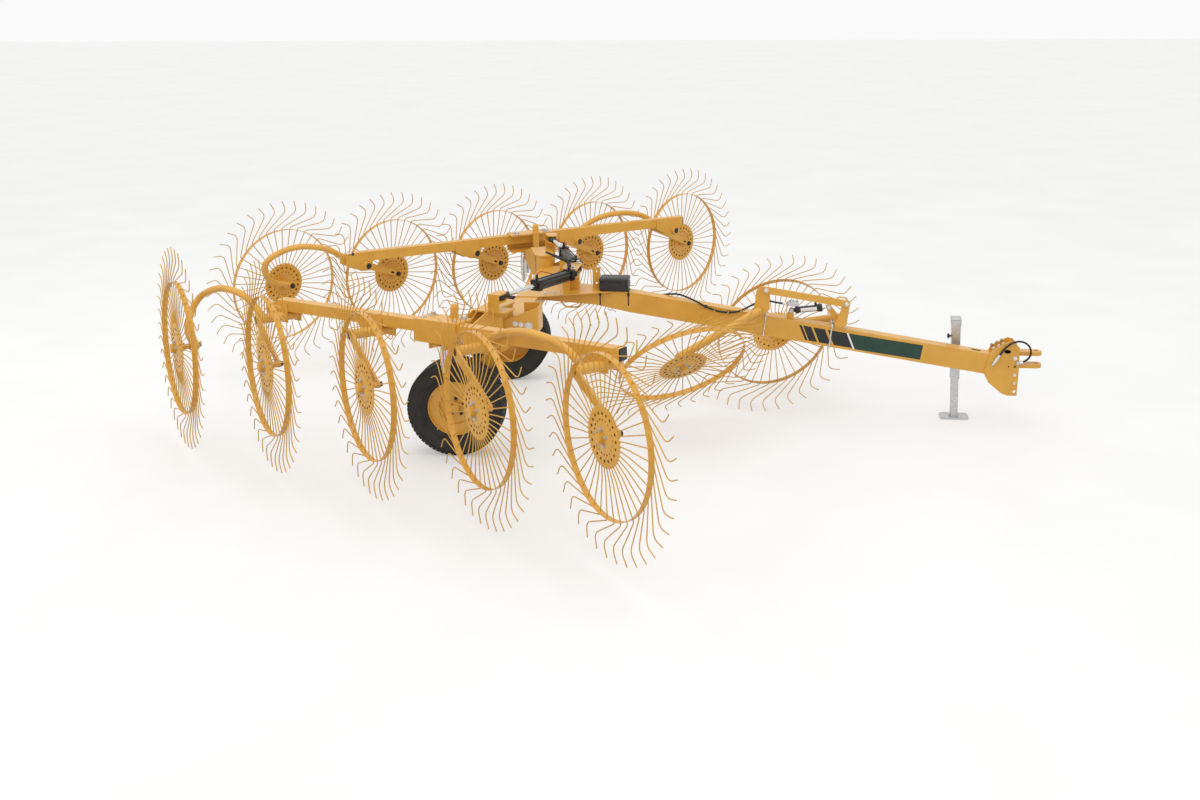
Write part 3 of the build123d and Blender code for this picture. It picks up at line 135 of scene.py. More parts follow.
def finish(name, dark, light, patch, roughness, grain=None, detail=3.0, bump=None, sockets=None):
    """Two close colours in patches of a real size, with a grain that varies gloss and relief (sizes in mm)."""
    material, tree, shader, place = blank(name)
    tree.links.new(mottled(tree, dark, light, patch, place), shader.inputs["Base Color"])
    if grain:
        noise = add(
            tree, "ShaderNodeTexNoise", inputs={"Vector": place, "Scale": per_metre(grain), "Detail": detail}
        ).outputs["Fac"]
        gloss = add(tree, "ShaderNodeMapRange", inputs={
            "Value": noise, "From Min": NOISE_LOW, "From Max": NOISE_HIGH, "To Min": roughness[0],
            "To Max": roughness[1]})
        tree.links.new(gloss.outputs["Result"], shader.inputs["Roughness"])
        if bump:
            relief = add(tree, "ShaderNodeBump", inputs={
                "Height": noise, "Strength": bump[0], "Distance": bump[1] * MM})
            tree.links.new(relief.outputs["Normal"], shader.inputs["Normal"])
    else:
        shader.inputs["Roughness"].default_value = roughness
    for socket, value in (sockets or {}).items():
        shader.inputs[socket].default_value = value
    return material


def finishes(colours):
    """Every finish of the machine by its short name."""
    coat = {"IOR": 1.5}
    metal = {"Metallic": 1.0}
    lightless = {"Specular IOR Level": 0.0}
    vinyl = {"patch": 60.0, "roughness": 0.4, "sockets": {"IOR": 1.46}}
    return {
        # Powder coated steel: an even warm yellow with soft gloss. Its orange peel is about 2 mm and is
        # drawn at 6 mm, as coarse as it needs to show
        "paint": finish(
            "yellow powder coat", colours.paint_shade, colours.paint, 140.0, (0.34, 0.46), 6.0, 2.0, (0.12, 0.4),
            {"IOR": 1.5, "Coat Weight": 0.25, "Coat Roughness": 0.22}),
        # The same paint on round spring wire, drawn deeper than the frame's coat as painted shade on the thin wire,
        # and duller
        "wire": finish(
            "yellow paint on spring wire", "#c3912f", "#d29e39", 60.0, (0.42, 0.56), 5.0, 2.0, None, coat),
        # Painted shade for the inside of a deep hole: near black and without gloss
        "gap": finish("unlit opening", "#120d07", "#1c140a", 20.0, 0.95, sockets=lightless),
        # Painted shade for the inside of a shallow hole in painted sheet: brown
        "painted_hole_shade": finish("shaded yellow paint", "#684413", "#7d561d", 20.0, 0.95, sockets=lightless),
        # Vulcanised tyre rubber: near black and dull, with faint dust in the mould's grain
        "rubber": finish(
            "vulcanised tyre rubber", colours.rubber, "#26241f", 55.0, (0.62, 0.82), 4.0, 4.0, (0.3, 0.5),
            {"IOR": 1.52}),
        # Hot dip galvanised steel: pale grey metal with a soft spangle
        "zinc": finish(
            "hot dip galvanised steel", "#b9babb", "#d3d4d4", 9.0, (0.38, 0.55), 5.0, sockets=metal),
        # Zinc plated bolts and pins: brighter and smoother
        "bolt": finish("zinc plated fastener", "#c6c7c6", "#e2e2df", 9.0, (0.24, 0.38), 5.0, sockets=metal),
        # Sprayed enamel on the cylinders: black with a clear highlight
        "cylinder": finish(
            "black enamel", "#121212", "#1d1d1d", 40.0, (0.28, 0.4), 8.0, bump=(0.25, 0.2), sockets=coat),
        # Moulded polypropylene: black with a fine grain that breaks its sheen
        "plastic": finish(
            "moulded polypropylene", "#191919", "#262626", 40.0, (0.38, 0.5), 2.0, bump=(0.25, 0.3), sockets=coat),
        # Extruded hose cover: dull black with the faint print of its wrap
        "hose": finish(
            "hydraulic hose rubber", "#131312", "#232321", 40.0, (0.5, 0.65), 3.0, bump=(0.25, 0.3), sockets=coat),
        # Hard chromed piston rod: bright and nearly mirror smooth
        "chrome": finish("hard chrome plate", "#c9cbcc", "#e3e4e4", 30.0, 0.12, sockets=metal),
        # Printed vinyl film: flat colour with a soft sheen
        "black_film": finish("black vinyl film", "#1b1b1a", "#222220", **vinyl),
        "green_film": finish("dark green vinyl film", "#15382c", "#1b4134", **vinyl),
        "white_film": finish("white vinyl film", "#e6e6e2", "#efefec", **vinyl),
        # PVC sheath of the lock cords: plain red with a soft sheen
        "red": finish("red cord sheath", "#a82a1c", "#bf3422", **vinyl),
    }


def seen_directly(tree):
    """One for rays from the camera, off gloss or through glass, nothing for light on the object."""
    ray = add(tree, "ShaderNodeLightPath")
    share = ray.outputs["Is Camera Ray"]
    for name in ("Is Glossy Ray", "Is Transmission Ray"):
        larger = add(tree, "ShaderNodeMath", {"operation": "MAXIMUM"})
        tree.links.new(share, larger.inputs[0])
        tree.links.new(ray.outputs[name], larger.inputs[1])
        share = larger.outputs[0]
    return share


class RakeColours(bpy.types.PropertyGroup):
    """Finishes that a user would change."""

    paint: bpy.props.StringProperty(name="Paint", description="Yellow powder coat, sRGB hex", default="#dca43c")
    paint_shade: bpy.props.StringProperty(
        name="Paint shade", description="Duller patches of the powder coat, sRGB hex", default="#d39b36")
    rubber: bpy.props.StringProperty(name="Rubber", description="Tyre rubber, sRGB hex", default="#1a1916")
    floor: bpy.props.StringProperty(name="Floor", description="Studio floor, sRGB hex", default="#cbcbca")


class RakeSizes(bpy.types.PropertyGroup):
    """Sizes that a user would change."""

    wire: bpy.props.FloatProperty(
        name="Tine wire", description="Thickness of a tine", default=0.007, min=0.004, max=0.012, unit="LENGTH")
    hoop_radius: bpy.props.FloatProperty(
        name="Hoop radius", description="Outer radius of the wheel's hoop", default=0.459, unit="LENGTH")
    hoop_width: bpy.props.FloatProperty(
        name="Hoop width", description="Width of the hoop's band", default=0.038, unit="LENGTH")
    hub_radius: bpy.props.FloatProperty(
        name="Hub radius", description="Radius of the wheel's hub disc", default=0.172, unit="LENGTH")
    knee_side: bpy.props.FloatProperty(
        name="Tine knee", description="How far the knee lies beside the tine's root line", default=0.235,
        unit="LENGTH")
    knee_radius: bpy.props.FloatProperty(
        name="Knee height", description="Height of the knee along the root line", default=0.570, unit="LENGTH")
    tip_side: bpy.props.FloatProperty(
        name="Tip side", description="How far the tip lies beside the tine's root line", default=0.2255,
        unit="LENGTH")
    tip_radius: bpy.props.FloatProperty(
        name="Tip height", description="Height of the tip along the root line", default=0.6582, unit="LENGTH")
    tines: bpy.props.IntProperty(name="Tines", description="Tines of one wheel", default=40, min=8, max=60)


# Places along the right arm, as the solids have them, in millimetres
ARM_TURN = math.radians(27.3)
WHEEL_TURN = math.radians(38.2)
TRAVEL = Vector((math.cos(ARM_TURN), -math.sin(ARM_TURN), 0))
INWARD = Vector((math.sin(ARM_TURN), math.cos(ARM_TURN), 0))
WHEEL_AXIS = Vector((math.cos(WHEEL_TURN), math.sin(WHEEL_TURN), 0))
WHEEL_ALONG = Vector((math.sin(WHEEL_TURN), -math.cos(WHEEL_TURN), 0))
FRONT_HUB = (1282.0, -2601.0)
FRONT_HUB_HEIGHT, HUB_SPACING, HUB_FALL = 785.0, 902.0, 14.0
BEAM_INSET, BEAM_HALF = 470.0, 38.0
BEAM_FRONT, BEAM_REAR = (210.0, 1092.0), (3100.0, 1006.0)
BEAM_SLOPE = (BEAM_FRONT[1] - BEAM_REAR[1]) / (BEAM_REAR[0] - BEAM_FRONT[0])
PIVOT_REACH, PIVOT_INNER, PIVOT_OUTER, PIVOT_DROP = 480.0, 372.0, 66.0, 75.0
# The drawbar's top face falls from here on, and its side stands this far out
BEND_X, BAR_TOP, BAR_FALL, BAR_SIDE = 1100.0, 955.0, math.tan(math.radians(9.0)), 51.0
CHEEK_SIDE = 63.0


def on_arm(run, inset, height):
    """A place on the right arm: run back from the front hub, inset towards the cart, height."""
    spot = Vector((*FRONT_HUB, 0)) - TRAVEL * run + INWARD * inset
    return at(spot.x, spot.y, height)


def beam_height(run):
    """The height of the beam's middle."""
    return BEAM_FRONT[1] - BEAM_SLOPE * (run - BEAM_FRONT[0])


def hub_spot(index):
    """A rake wheel's centre."""
    return on_arm(HUB_SPACING * index, 0.0, FRONT_HUB_HEIGHT - HUB_FALL * index)


def pivot_spot(index, along_axis):
    """A place on a pivot tube's centre line."""
    root = hub_spot(index) - WHEEL_ALONG * (PIVOT_REACH * MM)
    inner = root + WHEEL_AXIS * (PIVOT_INNER * MM)
    spot = root + WHEEL_AXIS * (along_axis * MM)
    run = -(inner - at(*FRONT_HUB, 0)).dot(TRAVEL) / MM
    spot.z = (beam_height(run) - PIVOT_DROP) * MM - PIN_HEIGHT
    return spot


def bar_top(x):
    """The height of the drawbar's top face."""
    return BAR_TOP - max(0.0, (x - BEND_X) * BAR_FALL)


# Pieces
SLOTS = {"bolt": "galvanised", "zinc": "galvanised", "paint": "frame_paint", "cylinder": "black_paint"}
OTHER_SLOT = "black_plastic"


def object_of(name, mesh, material, body, slot=None):
    """Puts a mesh in the scene with its finish and the body it rides on."""
    piece = bpy.data.objects.new(name, mesh)
    bpy.context.scene.collection.objects.link(piece)
    if material:
        mesh.materials.append(MATERIALS[material])
    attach(piece, body)
    return piece


def mesh_of(name, build, material=None):
    """A mesh filled by a builder, smooth except at edges over 35 degrees."""
    form = bmesh.new()
    build(form)
    bmesh.ops.recalc_face_normals(form, faces=form.faces)
    mesh = bpy.data.meshes.new(name)
    form.to_mesh(mesh)
    form.free()
    mesh.polygons.foreach_set("use_smooth", [True] * len(mesh.polygons))
    mesh.set_sharp_from_angle(angle=math.radians(35.0))
    if material:
        mesh.materials.append(MATERIALS[material])
    return mesh


def put(name, build, material, body):
    """A piece made by a builder, with its finish and its body."""
    mesh = mesh_of(name.replace("_", " "), build)
    return object_of(name, mesh, material, body, SLOTS.get(material, OTHER_SLOT))


def flipped(mesh, name, axis):
    """A mesh's mirror image along an axis."""
    copy = mesh.copy()
    copy.name = name
    copy.transform(Matrix.Scale(-1, 4, axis))
    copy.flip_normals()
    return copy


def both_sides(name, build, material, body, sided=True):
    """A piece of the right side and its mirror image, each on its own side's body or on a shared one."""
    right = mesh_of("right " + name, build)
    left = flipped(right, "left " + name, LEFTWARD)
    for side, mesh in (("right", right), ("left", left)):
        object_of(
            side + "_" + name.replace(" ", "_"), mesh, material, side + "_" + body if sided else body,
            SLOTS.get(material, OTHER_SLOT))


# Mesh building
def ellipse(centre, x_half, y_half, count):
    """Points round a centre, with both half axes given as vectors."""
    return [centre + x_half * math.cos(a) + y_half * math.sin(a) for a in round_steps(count)]


def ring(form, centre, x_axis, y_axis, radius, count):
    """One closed round loop."""
    return [form.verts.new(point) for point in ellipse(centre, x_axis * radius, y_axis * radius, count)]


def skin(form, loops, close=False, caps=()):
    """Quads from loop to loop, back to the first one if it closes, and a face on the loops that cap it."""
    count = len(loops[0])
    for first, second in zip(loops, loops[1:] + (loops[:1] if close else [])):
        for i in range(count):
            form.faces.new((first[i], first[(i + 1) % count], second[(i + 1) % count], second[i]))
    for end in caps:
        form.faces.new(loops[end])


BOTH_ENDS = (0, -1)


def wire(form, points, radius, count=8, closed=False):
    """A round bar along points, with its section carried without twist."""
    loops, side, total = [], None, len(points)
    for i, point in enumerate(points):
        before = points[i - 1] if i or closed else point
        after = points[(i + 1) % total] if i + 1 < total or closed else point
        along = (after - before).normalized()
        if side is None:
            side = along.orthogonal().normalized()
        side = (side - along * side.dot(along)).normalized()
        loops.append(ring(form, point, side, along.cross(side), radius, count))
    skin(form, loops, closed, () if closed else BOTH_ENDS)


def rounded(corners, radii, steps=5):
    """A path whose inner corners are turned by arcs."""
    path = [corners[0].copy()]
    for before, here, after, radius in zip(corners, corners[1:], corners[2:], radii):
        back = (before - here).normalized()
        ahead = (after - here).normalized()
        half = back.angle(ahead) / 2
        reach = radius / math.tan(half)
        middle = here + (back + ahead).normalized() * (radius / math.sin(half))
        first = here + back * reach - middle
        last = here + ahead * reach - middle
        turn = first.angle(last)
        axis = first.cross(last).normalized()
        for k in range(steps + 1):
            path.append(middle + Matrix.Rotation(turn * k / steps, 3, axis) @ first)
    path.append(corners[-1].copy())
    return path


def turned(form, profile, count):
    """A closed profile of radius and height turned about Z."""
    skin(form, [
        ring(form, UP * height, FORWARD, LEFTWARD, radius, count) for radius, height in profile], True)


def stacked(form, place, axis, rows, count, caps=BOTH_ENDS):
    """Round loops along an axis, each row a height and a radius."""
    side = axis.orthogonal().normalized()
    other = axis.cross(side)
    skin(form, [ring(form, place + axis * height, side, other, radius, count) for height, radius in rows], caps=caps)


def hexagon_bolt(form, place, axis, across, height, washer):
    """A hexagon head on its washer, standing on a face."""
    flange = height * 0.22
    # A hexagon's corner lies this far from its middle, by its width across the flats
    corner = across * 0.577
    stacked(form, place, axis, ((0.0, washer), (flange, washer)), 16, (-1,))
    stacked(form, place, axis, ((flange, corner), (height * 0.9, corner), (height, across * 0.48)), 6, (-1,))


def bar(form, start, end, radius, count=24, chamfer=0.0015):
    """A round bar with chamfered ends."""
    length = (end - start).length
    stacked(form, start, (end - start).normalized(), (
        (0.0, radius - chamfer), (chamfer, radius), (length - chamfer, radius), (length, radius - chamfer)), count)


def bars(form, place, axis, rows):
    """Round bars on one axis, each row a start, an end, a radius and what else a bar takes."""
    for low, high, *shape in rows:
        bar(form, place + axis * low, place + axis * high, *shape)


def bevelled(form, low, high, bevel, segments=3):
    """A block between two corners with rounded edges."""
    made = bmesh.ops.create_cube(form, size=1.0)["verts"]
    middle, size = (low + high) / 2, high - low
    for vert in made:
        vert.co = Vector((vert.co.x * size.x, vert.co.y * size.y, vert.co.z * size.z)) + middle
    edges = {edge for vert in made for edge in vert.link_edges}
    bmesh.ops.bevel(form, geom=list(edges), offset=bevel, segments=segments, profile=0.5, affect="EDGES")


def sheet_piece(form, outline, normal, thick):
    """A flat outline given some thickness along its normal."""
    skin(form, [
        [form.verts.new(point) for point in outline], [form.verts.new(point + normal * thick) for point in outline]
    ], caps=BOTH_ENDS)


def soft_corners(half_x, half_y, radius, turns):
    """The points of a rectangle with rounded corners, each corner swept through the turns in degrees."""
    points = []
    for a, b in ((-1, -1), (1, -1), (1, 1), (-1, 1)):
        for turn in turns:
            angle = math.atan2(b, a) + math.radians(turn)
            points.append((
                a * (half_x - radius) + radius * math.cos(angle), b * (half_y - radius) + radius * math.sin(angle)))
    return points


# Rake wheel, in its own frame: outer face along +Z, a tine's root line along +Y
def build_tines(form, sizes):
    """All the tines of one wheel: root, stub, long lean to the knee and the tip that leans back."""
    root_height = 0.015
    base = rounded([
        Vector((0, 0.118, root_height)), Vector((0, 0.17, root_height)), Vector((0, 0.25, 0.006)),
        Vector((0, 0.4745, 0)), Vector((sizes.knee_side, sizes.knee_radius, 0)),
        Vector((sizes.tip_side, sizes.tip_radius, 0)),
    ], [0.12, 0.12, 0.022, 0.052])
    for angle in round_steps(sizes.tines):
        spin = Matrix.Rotation(angle, 3, "Z")
        wire(form, [spin @ point for point in base], sizes.wire / 2, 7)


def build_hoop(form, sizes):
    """The flat band that the tines pass through, with rounded edges."""
    half = sizes.hoop_width / 2
    outer, inner = sizes.hoop_radius, sizes.hoop_radius - 0.004
    lip = 0.0012
    turned(form, [
        (outer - lip, -half), (outer, -half + lip), (outer, half - lip), (outer - lip, half),
        (inner + lip, half), (inner, half - lip), (inner, -half + lip), (inner + lip, -half),
    ], 120)


HUB_RINGS = (
    # Bumps, their circle's radius, half length along the circle, half width
    (40, 0.152, 0.0075, 0.0045),
    (20, 0.106, 0.0085, 0.0045),
)
HUB_HOLES = (
    # Holes, their circle's radius, radius of one
    (20, 0.131, 0.0088),
    (20, 0.096, 0.0050),
)
# Height of each face of the disc, and which way it looks
HUB_FACES = ((0.018, 1), (0.012, -1))
NOTCH_DEPTH = 0.009
BUMP_RISE = 0.0035


def build_hub(form, sizes):
    """Dished hub disc with notches in its rim and rings of pressed bumps on both faces, and its tube."""
    edge = sizes.hub_radius
    turned(form, [
        # Radius and height, round the section
        (0.021, -0.031), (0.030, -0.031), (0.030, 0.024), (0.060, 0.024), (0.082, 0.012), (edge - 0.001, 0.012),
        (edge, 0.013), (edge, 0.017), (edge - 0.001, 0.018), (0.084, 0.018), (0.062, 0.030), (0.030, 0.030),
        (0.030, 0.060), (0.0285, 0.061), (0.021, 0.061),
    ], 160)
    # Forty notches in the rim, one beside each tine: two of each four of the rim's steps are drawn in
    for vert in form.verts:
        reach = math.hypot(vert.co.x, vert.co.y)
        step = round(math.degrees(math.atan2(vert.co.y, vert.co.x)) / (360 / 160))
        if reach > edge - 0.002 and step % 4 in (0, 1):
            vert.co.x *= (reach - NOTCH_DEPTH) / reach
            vert.co.y *= (reach - NOTCH_DEPTH) / reach
    for count, circle, long_half, half in HUB_RINGS:
        for out in spokes(count, 0.5):
            side = UP.cross(out)
            for height, way in HUB_FACES:
                root = height - way * 0.0002
                skin(form, [[
                    form.verts.new(out * (circle + half * wide * b) + side * (long_half * long * a) + UP * level)
                    for a, b in ((-1, -1), (1, -1), (1, 1), (-1, 1))
                ] for wide, long, level in ((1.0, 1.0, root), (0.5, 0.7, root + way * BUMP_RISE))], caps=(-1,))


def build_hub_hole_shade(form):
    """Rings of painted shade discs where the holes are, on both faces of the hub."""
    for count, circle, radius in HUB_HOLES:
        for out in spokes(count, 0.25):
            for height, way in HUB_FACES:
                outline = ellipse(out * circle + UP * height, FORWARD * radius, LEFTWARD * radius, 12)
                sheet_piece(form, outline, UP * way, FILM)


def build_hub_caps(form):
    """The discs on both ends of the hub's tube."""
    turned(form, [(0.0005, 0.064), (0.024, 0.064), (0.026, 0.062), (0.026, 0.052), (0.0005, 0.052)], 24)
    turned(form, [(0.0005, -0.034), (0.0005, -0.030), (0.026, -0.030), (0.026, -0.034)], 24)


def build_hub_bolts(form):
    """Five bolts round the hub's tube."""
    for out in spokes(5, 0.25):
        hexagon_bolt(form, out * 0.047 + UP * 0.030, UP, 0.017, 0.012, 0.013)


class RAKE_OT_finishes(bpy.types.Operator):
    """Makes the finishes and puts them on the solids that stay in view"""

    bl_idname = "rake.finishes"
    bl_label = "Finishes"

    def execute(self, context):
        MATERIALS.update(finishes(context.scene.rake_colours))
        endings = {
            "_tyre": "rubber", "jack_leg": "zinc", "jack_tube": "zinc", "_rod": "chrome", "_barrel": "cylinder",
            "manual_box": "plastic", "_hose": "hose", "hose_coupler": "bolt"}
        for name, node in frame["nodes"].items():
            key = next((coat for ending, coat in endings.items() if name.endswith(ending)), "paint")
            for slot in node.material_slots:
                slot.material = MATERIALS[key]
        return {"FINISHED"}


def wheel_matrix(joint, against):
    """Where a wheel stands: local Z along its joint's axis or against it, local Y up in its plane."""
    axis = Vector(joint["axis"]).normalized()
    normal = -axis if against else axis
    along = UP.cross(normal).normalized()
    matrix = Matrix((along, normal.cross(along), normal)).transposed().to_4x4()
    matrix.translation = Vector(joint["pos_m"])
    return matrix


class RAKE_OT_rake_wheels(bpy.types.Operator):
    """Round bent tines, hoops, hubs with painted shade where their holes are, and their bolts on all the wheels"""

    bl_idname = "rake.rake_wheels"
    bl_label = "Rake wheels"

    def execute(self, context):
        sizes = context.scene.rake_sizes
        parts = (
            # Builder, index of its finish
            (lambda form: build_hoop(form, sizes), 0), (lambda form: build_hub(form, sizes), 0),
            (build_hub_caps, 0), (build_hub_hole_shade, 2), (lambda form: build_tines(form, sizes), 1))
        meshes = []
        for build, index in parts:
            mesh = mesh_of("wheel part", build)
            for face in mesh.polygons:
                face.material_index = index
            meshes.append(mesh)

        def whole(form):
            for mesh in meshes:
                form.from_mesh(mesh)
        wheel = mesh_of("rake wheel", whole)
        for material in ("paint", "wire", "painted_hole_shade"):
            wheel.materials.append(MATERIALS[material])
        bolts = mesh_of("wheel bolts", build_hub_bolts, "zinc")
        hands = {"right": (wheel, bolts)}
        hands["left"] = tuple(flipped(mesh, mesh.name + ", left hand", UP) for mesh in hands["right"])
        places = [
            ("%s_rake_wheel_%d" % (side, i), "%s_wheel_%d" % (side, i), "%s_wheel_%d_spin" % (side, i), side)
            for side, _ in SIDES for i in range(1, 6)]
        places += [
            ("kicker_wheel_" + side, "kicker_spin_" + side, "kicker_wheel_%s_spin" % side, side)
            for side, _ in SIDES]
        for node, body, joint, side in places:
            matrix = wheel_matrix(JOINTS[joint], side == "right")
            dressed, bolted = (mesh.copy() for mesh in hands[side])
            dressed.transform(matrix)
            bolted.transform(matrix)
            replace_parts(object_of(node + "_dressed", dressed, None, body), node)
            object_of(node + "_bolts", bolted, None, body)
        return {"FINISHED"}


TYRE_SIDE = (
    # Radius and half width of the carcass, from bead to shoulder
    (0.1885, 0.070), (0.197, 0.0765), (0.214, 0.0905), (0.245, 0.1005), (0.268, 0.1022), (0.296, 0.0985),
    (0.314, 0.0925), (0.3235, 0.082), (0.3265, 0.070),
)
SIDEWALL_RINGS = ((0.2225, 0.0945), (0.305, 0.0965))
TREAD_RIBS = (
    # Middle, half width, blocks, lean
    (-0.0735, 0.0125, 66, 0.0), (-0.0420, 0.0125, 54, 0.010), (0.0, 0.0205, 48, 0.012),
    (0.0420, 0.0125, 54, 0.010), (0.0735, 0.0125, 66, 0.0),
)
TREAD_RADIUS = 0.33
BLOCK_SHARE = 0.80


def build_tyre(form):
    """A radial tyre about its own Z axis: rounded carcass, five ribs of blocks cut by grooves."""
    turned(form, [(radius, -half) for radius, half in TYRE_SIDE] + list(reversed(TYRE_SIDE)), 120)
    for side in (-1, 1):
        for radius, height in SIDEWALL_RINGS:
            foot, crest = side * (height - 0.001), side * (height + 0.0015)
            turned(form, [
                (radius - 0.002, foot), (radius - 0.001, crest), (radius + 0.001, crest), (radius + 0.002, foot)
            ], 120)
    for middle, half, blocks, lean in TREAD_RIBS:
        for i in range(blocks):
            loops = []
            for radius, inset in ((0.3235, 0.0), (0.3322, 0.0), (0.3336, 0.0012)):
                shoulder = 0.004 if abs(middle) > 0.06 and radius > TREAD_RADIUS else 0.0
                loop = []
                for across, along in ((-1, 0), (1, 0), (1, 0.5), (1, 1), (-1, 1), (-1, 0.5)):
                    angle = 2 * math.pi * (i + BLOCK_SHARE * along) / blocks
                    angle += (lean * across + inset * (1 - 2 * along)) / TREAD_RADIUS
                    reach = radius - (shoulder if across * middle > 0.05 else 0.0)
                    loop.append(form.verts.new((
                        reach * math.cos(angle), reach * math.sin(angle), middle + across * (half - inset))))
                loops.append(loop)
            skin(form, loops, caps=(-1,))


class RAKE_OT_road_wheels(bpy.types.Operator):
    """Treaded tyres, lug bolts, hub caps and valves"""

    bl_idname = "rake.road_wheels"
    bl_label = "Road wheels"

    def execute(self, context):
        rim_face = 0.0285

        def bolts(form):
            for out in spokes(5, 0.25):
                hexagon_bolt(form, out * 0.0575 + UP * rim_face, UP, 0.019, 0.016, 0.0125)

        def cap(form):
            turned(form, [
                (0.0005, 0.078), (0.018, 0.078), (0.026, 0.074), (0.0315, 0.062), (0.033, 0.030), (0.036, rim_face),
                (0.0005, rim_face)], 40)
            turned(form, [(0.0400, rim_face), (0.0400, 0.0305), (0.0425, 0.0305), (0.0425, rim_face)], 40)

        def valve(form):
            wire(form, [Vector((0.150, 0.030, 0.044)), Vector((0.148, 0.030, 0.060)), Vector((0.143, 0.029, 0.076))],
                 0.0042, 10)

        parts = (
            # Piece, its mesh, the node it replaces, its slot
            ("tyre_dressed", mesh_of("tyre", build_tyre, "rubber"), "tyre", None),
            ("lug_bolts", mesh_of("lug bolts", bolts, "cylinder"), None, "black_plastic"),
            ("hub_cap", mesh_of("hub cap", cap, "paint"), None, "black_plastic"),
            ("valve", mesh_of("valve", valve, "plastic"), None, "black_plastic"))
        for side, sign in SIDES:
            # Local Z looks away from the machine
            matrix = Matrix(((1, 0, 0), (0, 0, sign), (0, -sign, 0))).to_4x4()
            matrix.translation = Vector(JOINTS[side + "_road_wheel_spin"]["pos_m"])
            for name, mesh, node, slot in parts:
                piece = object_of(side + "_" + name, mesh, None, side + "_road_wheel", slot)
                piece.matrix_world = matrix
                if node:
                    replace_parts(piece, side + "_" + node)
        return {"FINISHED"}


class RAKE_OT_arm_fittings(bpy.types.Operator):
    """End caps, pivot caps, crank nuts, clamp bolts and spindles on both arms"""

    bl_idname = "rake.arm_fittings"
    bl_label = "Arm fittings"

    def execute(self, context):
        front, rear = (on_arm(run, BEAM_INSET, height) for run, height in (BEAM_FRONT, BEAM_REAR))
        along = (rear - front).normalized()
        over = INWARD.cross(along)
        crank_face = 0.082

        def caps(form):
            for end, way in ((front, -along), (rear, along)):
                # Three steps of a plug: half width, start and end
                for half, low, high in ((0.0385, -0.001, 0.003), (0.0365, 0.003, 0.0055), (0.031, 0.0055, 0.0072)):
                    outline = [
                        end + way * low + INWARD * x + over * y
                        for x, y in soft_corners(half, half, 0.006, (-30, 0, 30))]
                    sheet_piece(form, outline, way, high - low)
            for index in range(4):
                inner, outer = pivot_spot(index, PIVOT_INNER), pivot_spot(index, PIVOT_OUTER)
                bar(form, inner, inner + WHEEL_AXIS * 0.0035, 0.0243, 28)
                bar(form, outer, outer - WHEEL_AXIS * 0.006, 0.027, 28, 0.002)
        both_sides("arm caps", caps, "plastic", "arm")

        def crank_nuts(form):
            for index, reach in enumerate((crank_face,) * 4 + (0.126,)):
                hexagon_bolt(form, hub_spot(index) + WHEEL_AXIS * reach, WHEEL_AXIS, 0.030, 0.018, 0.021)
        both_sides("crank nuts", crank_nuts, "cylinder", "arm")

        # Films of painted shade on the crank faces, where their slots are
        def crank_slot_shade(form):
            for index in range(4):
                hub = hub_spot(index)
                way = (pivot_spot(index, PIVOT_OUTER) - hub - WHEEL_AXIS * (PIVOT_OUTER * MM)).normalized()
                centre = hub + WHEEL_AXIS * (crank_face + 0.0001) + way * 0.062
                outline = ellipse(centre, way * 0.017, way.cross(WHEEL_AXIS) * 0.008, 24)
                sheet_piece(form, outline, WHEEL_AXIS, FILM)
        both_sides("crank slot shade", crank_slot_shade, "gap", "arm")

        def clamp_bolts(form):
            # Inset of the row, then what its bolts measure
            for inset, sizes in ((548.0, (0.034, 0.024, 0.030)), (BEAM_INSET, (0.018, 0.013, 0.016))):
                for run in (1490.0, 1745.0):
                    hexagon_bolt(form, on_arm(run, inset, beam_height(run) + BEAM_HALF + 12.3), UP, *sizes)
        both_sides("clamp bolts", clamp_bolts, "bolt", "arm")

        def spindle(form):
            for run, inset, length in ((1704.0, 590.0, 0.245), (1660.0, 560.0, 0.190)):
                top = on_arm(run, inset, beam_height(run) - BEAM_HALF - 48.0 - 12.4)
                bars(form, top, -UP, (
                    (0.0, length, 0.0150, 20, 0.004), (0.020, length - 0.045, 0.0240, 24, 0.008),
                    (0.0, 0.012, 0.022, 24, 0.003), (length - 0.038, length - 0.022, 0.021, 6, 0.001)))
        both_sides("clamp spindles", spindle, "bolt", "arm")

        def collar(form):
            post = on_arm(1590.0, BEAM_INSET + BEAM_HALF + 70.0, beam_height(1590.0) + 50.6)
            bar(form, post, post + UP * 0.010, 0.034, 28, 0.002)
        both_sides("post collar", collar, "paint", "arm")
        return {"FINISHED"}


# Ends of the right fold cylinder, as the solids have them
FOLD_BASE = at(700.0, -100.0, 1100.0)
FOLD_EYE = at(347.0, -972.0, 1136.0)


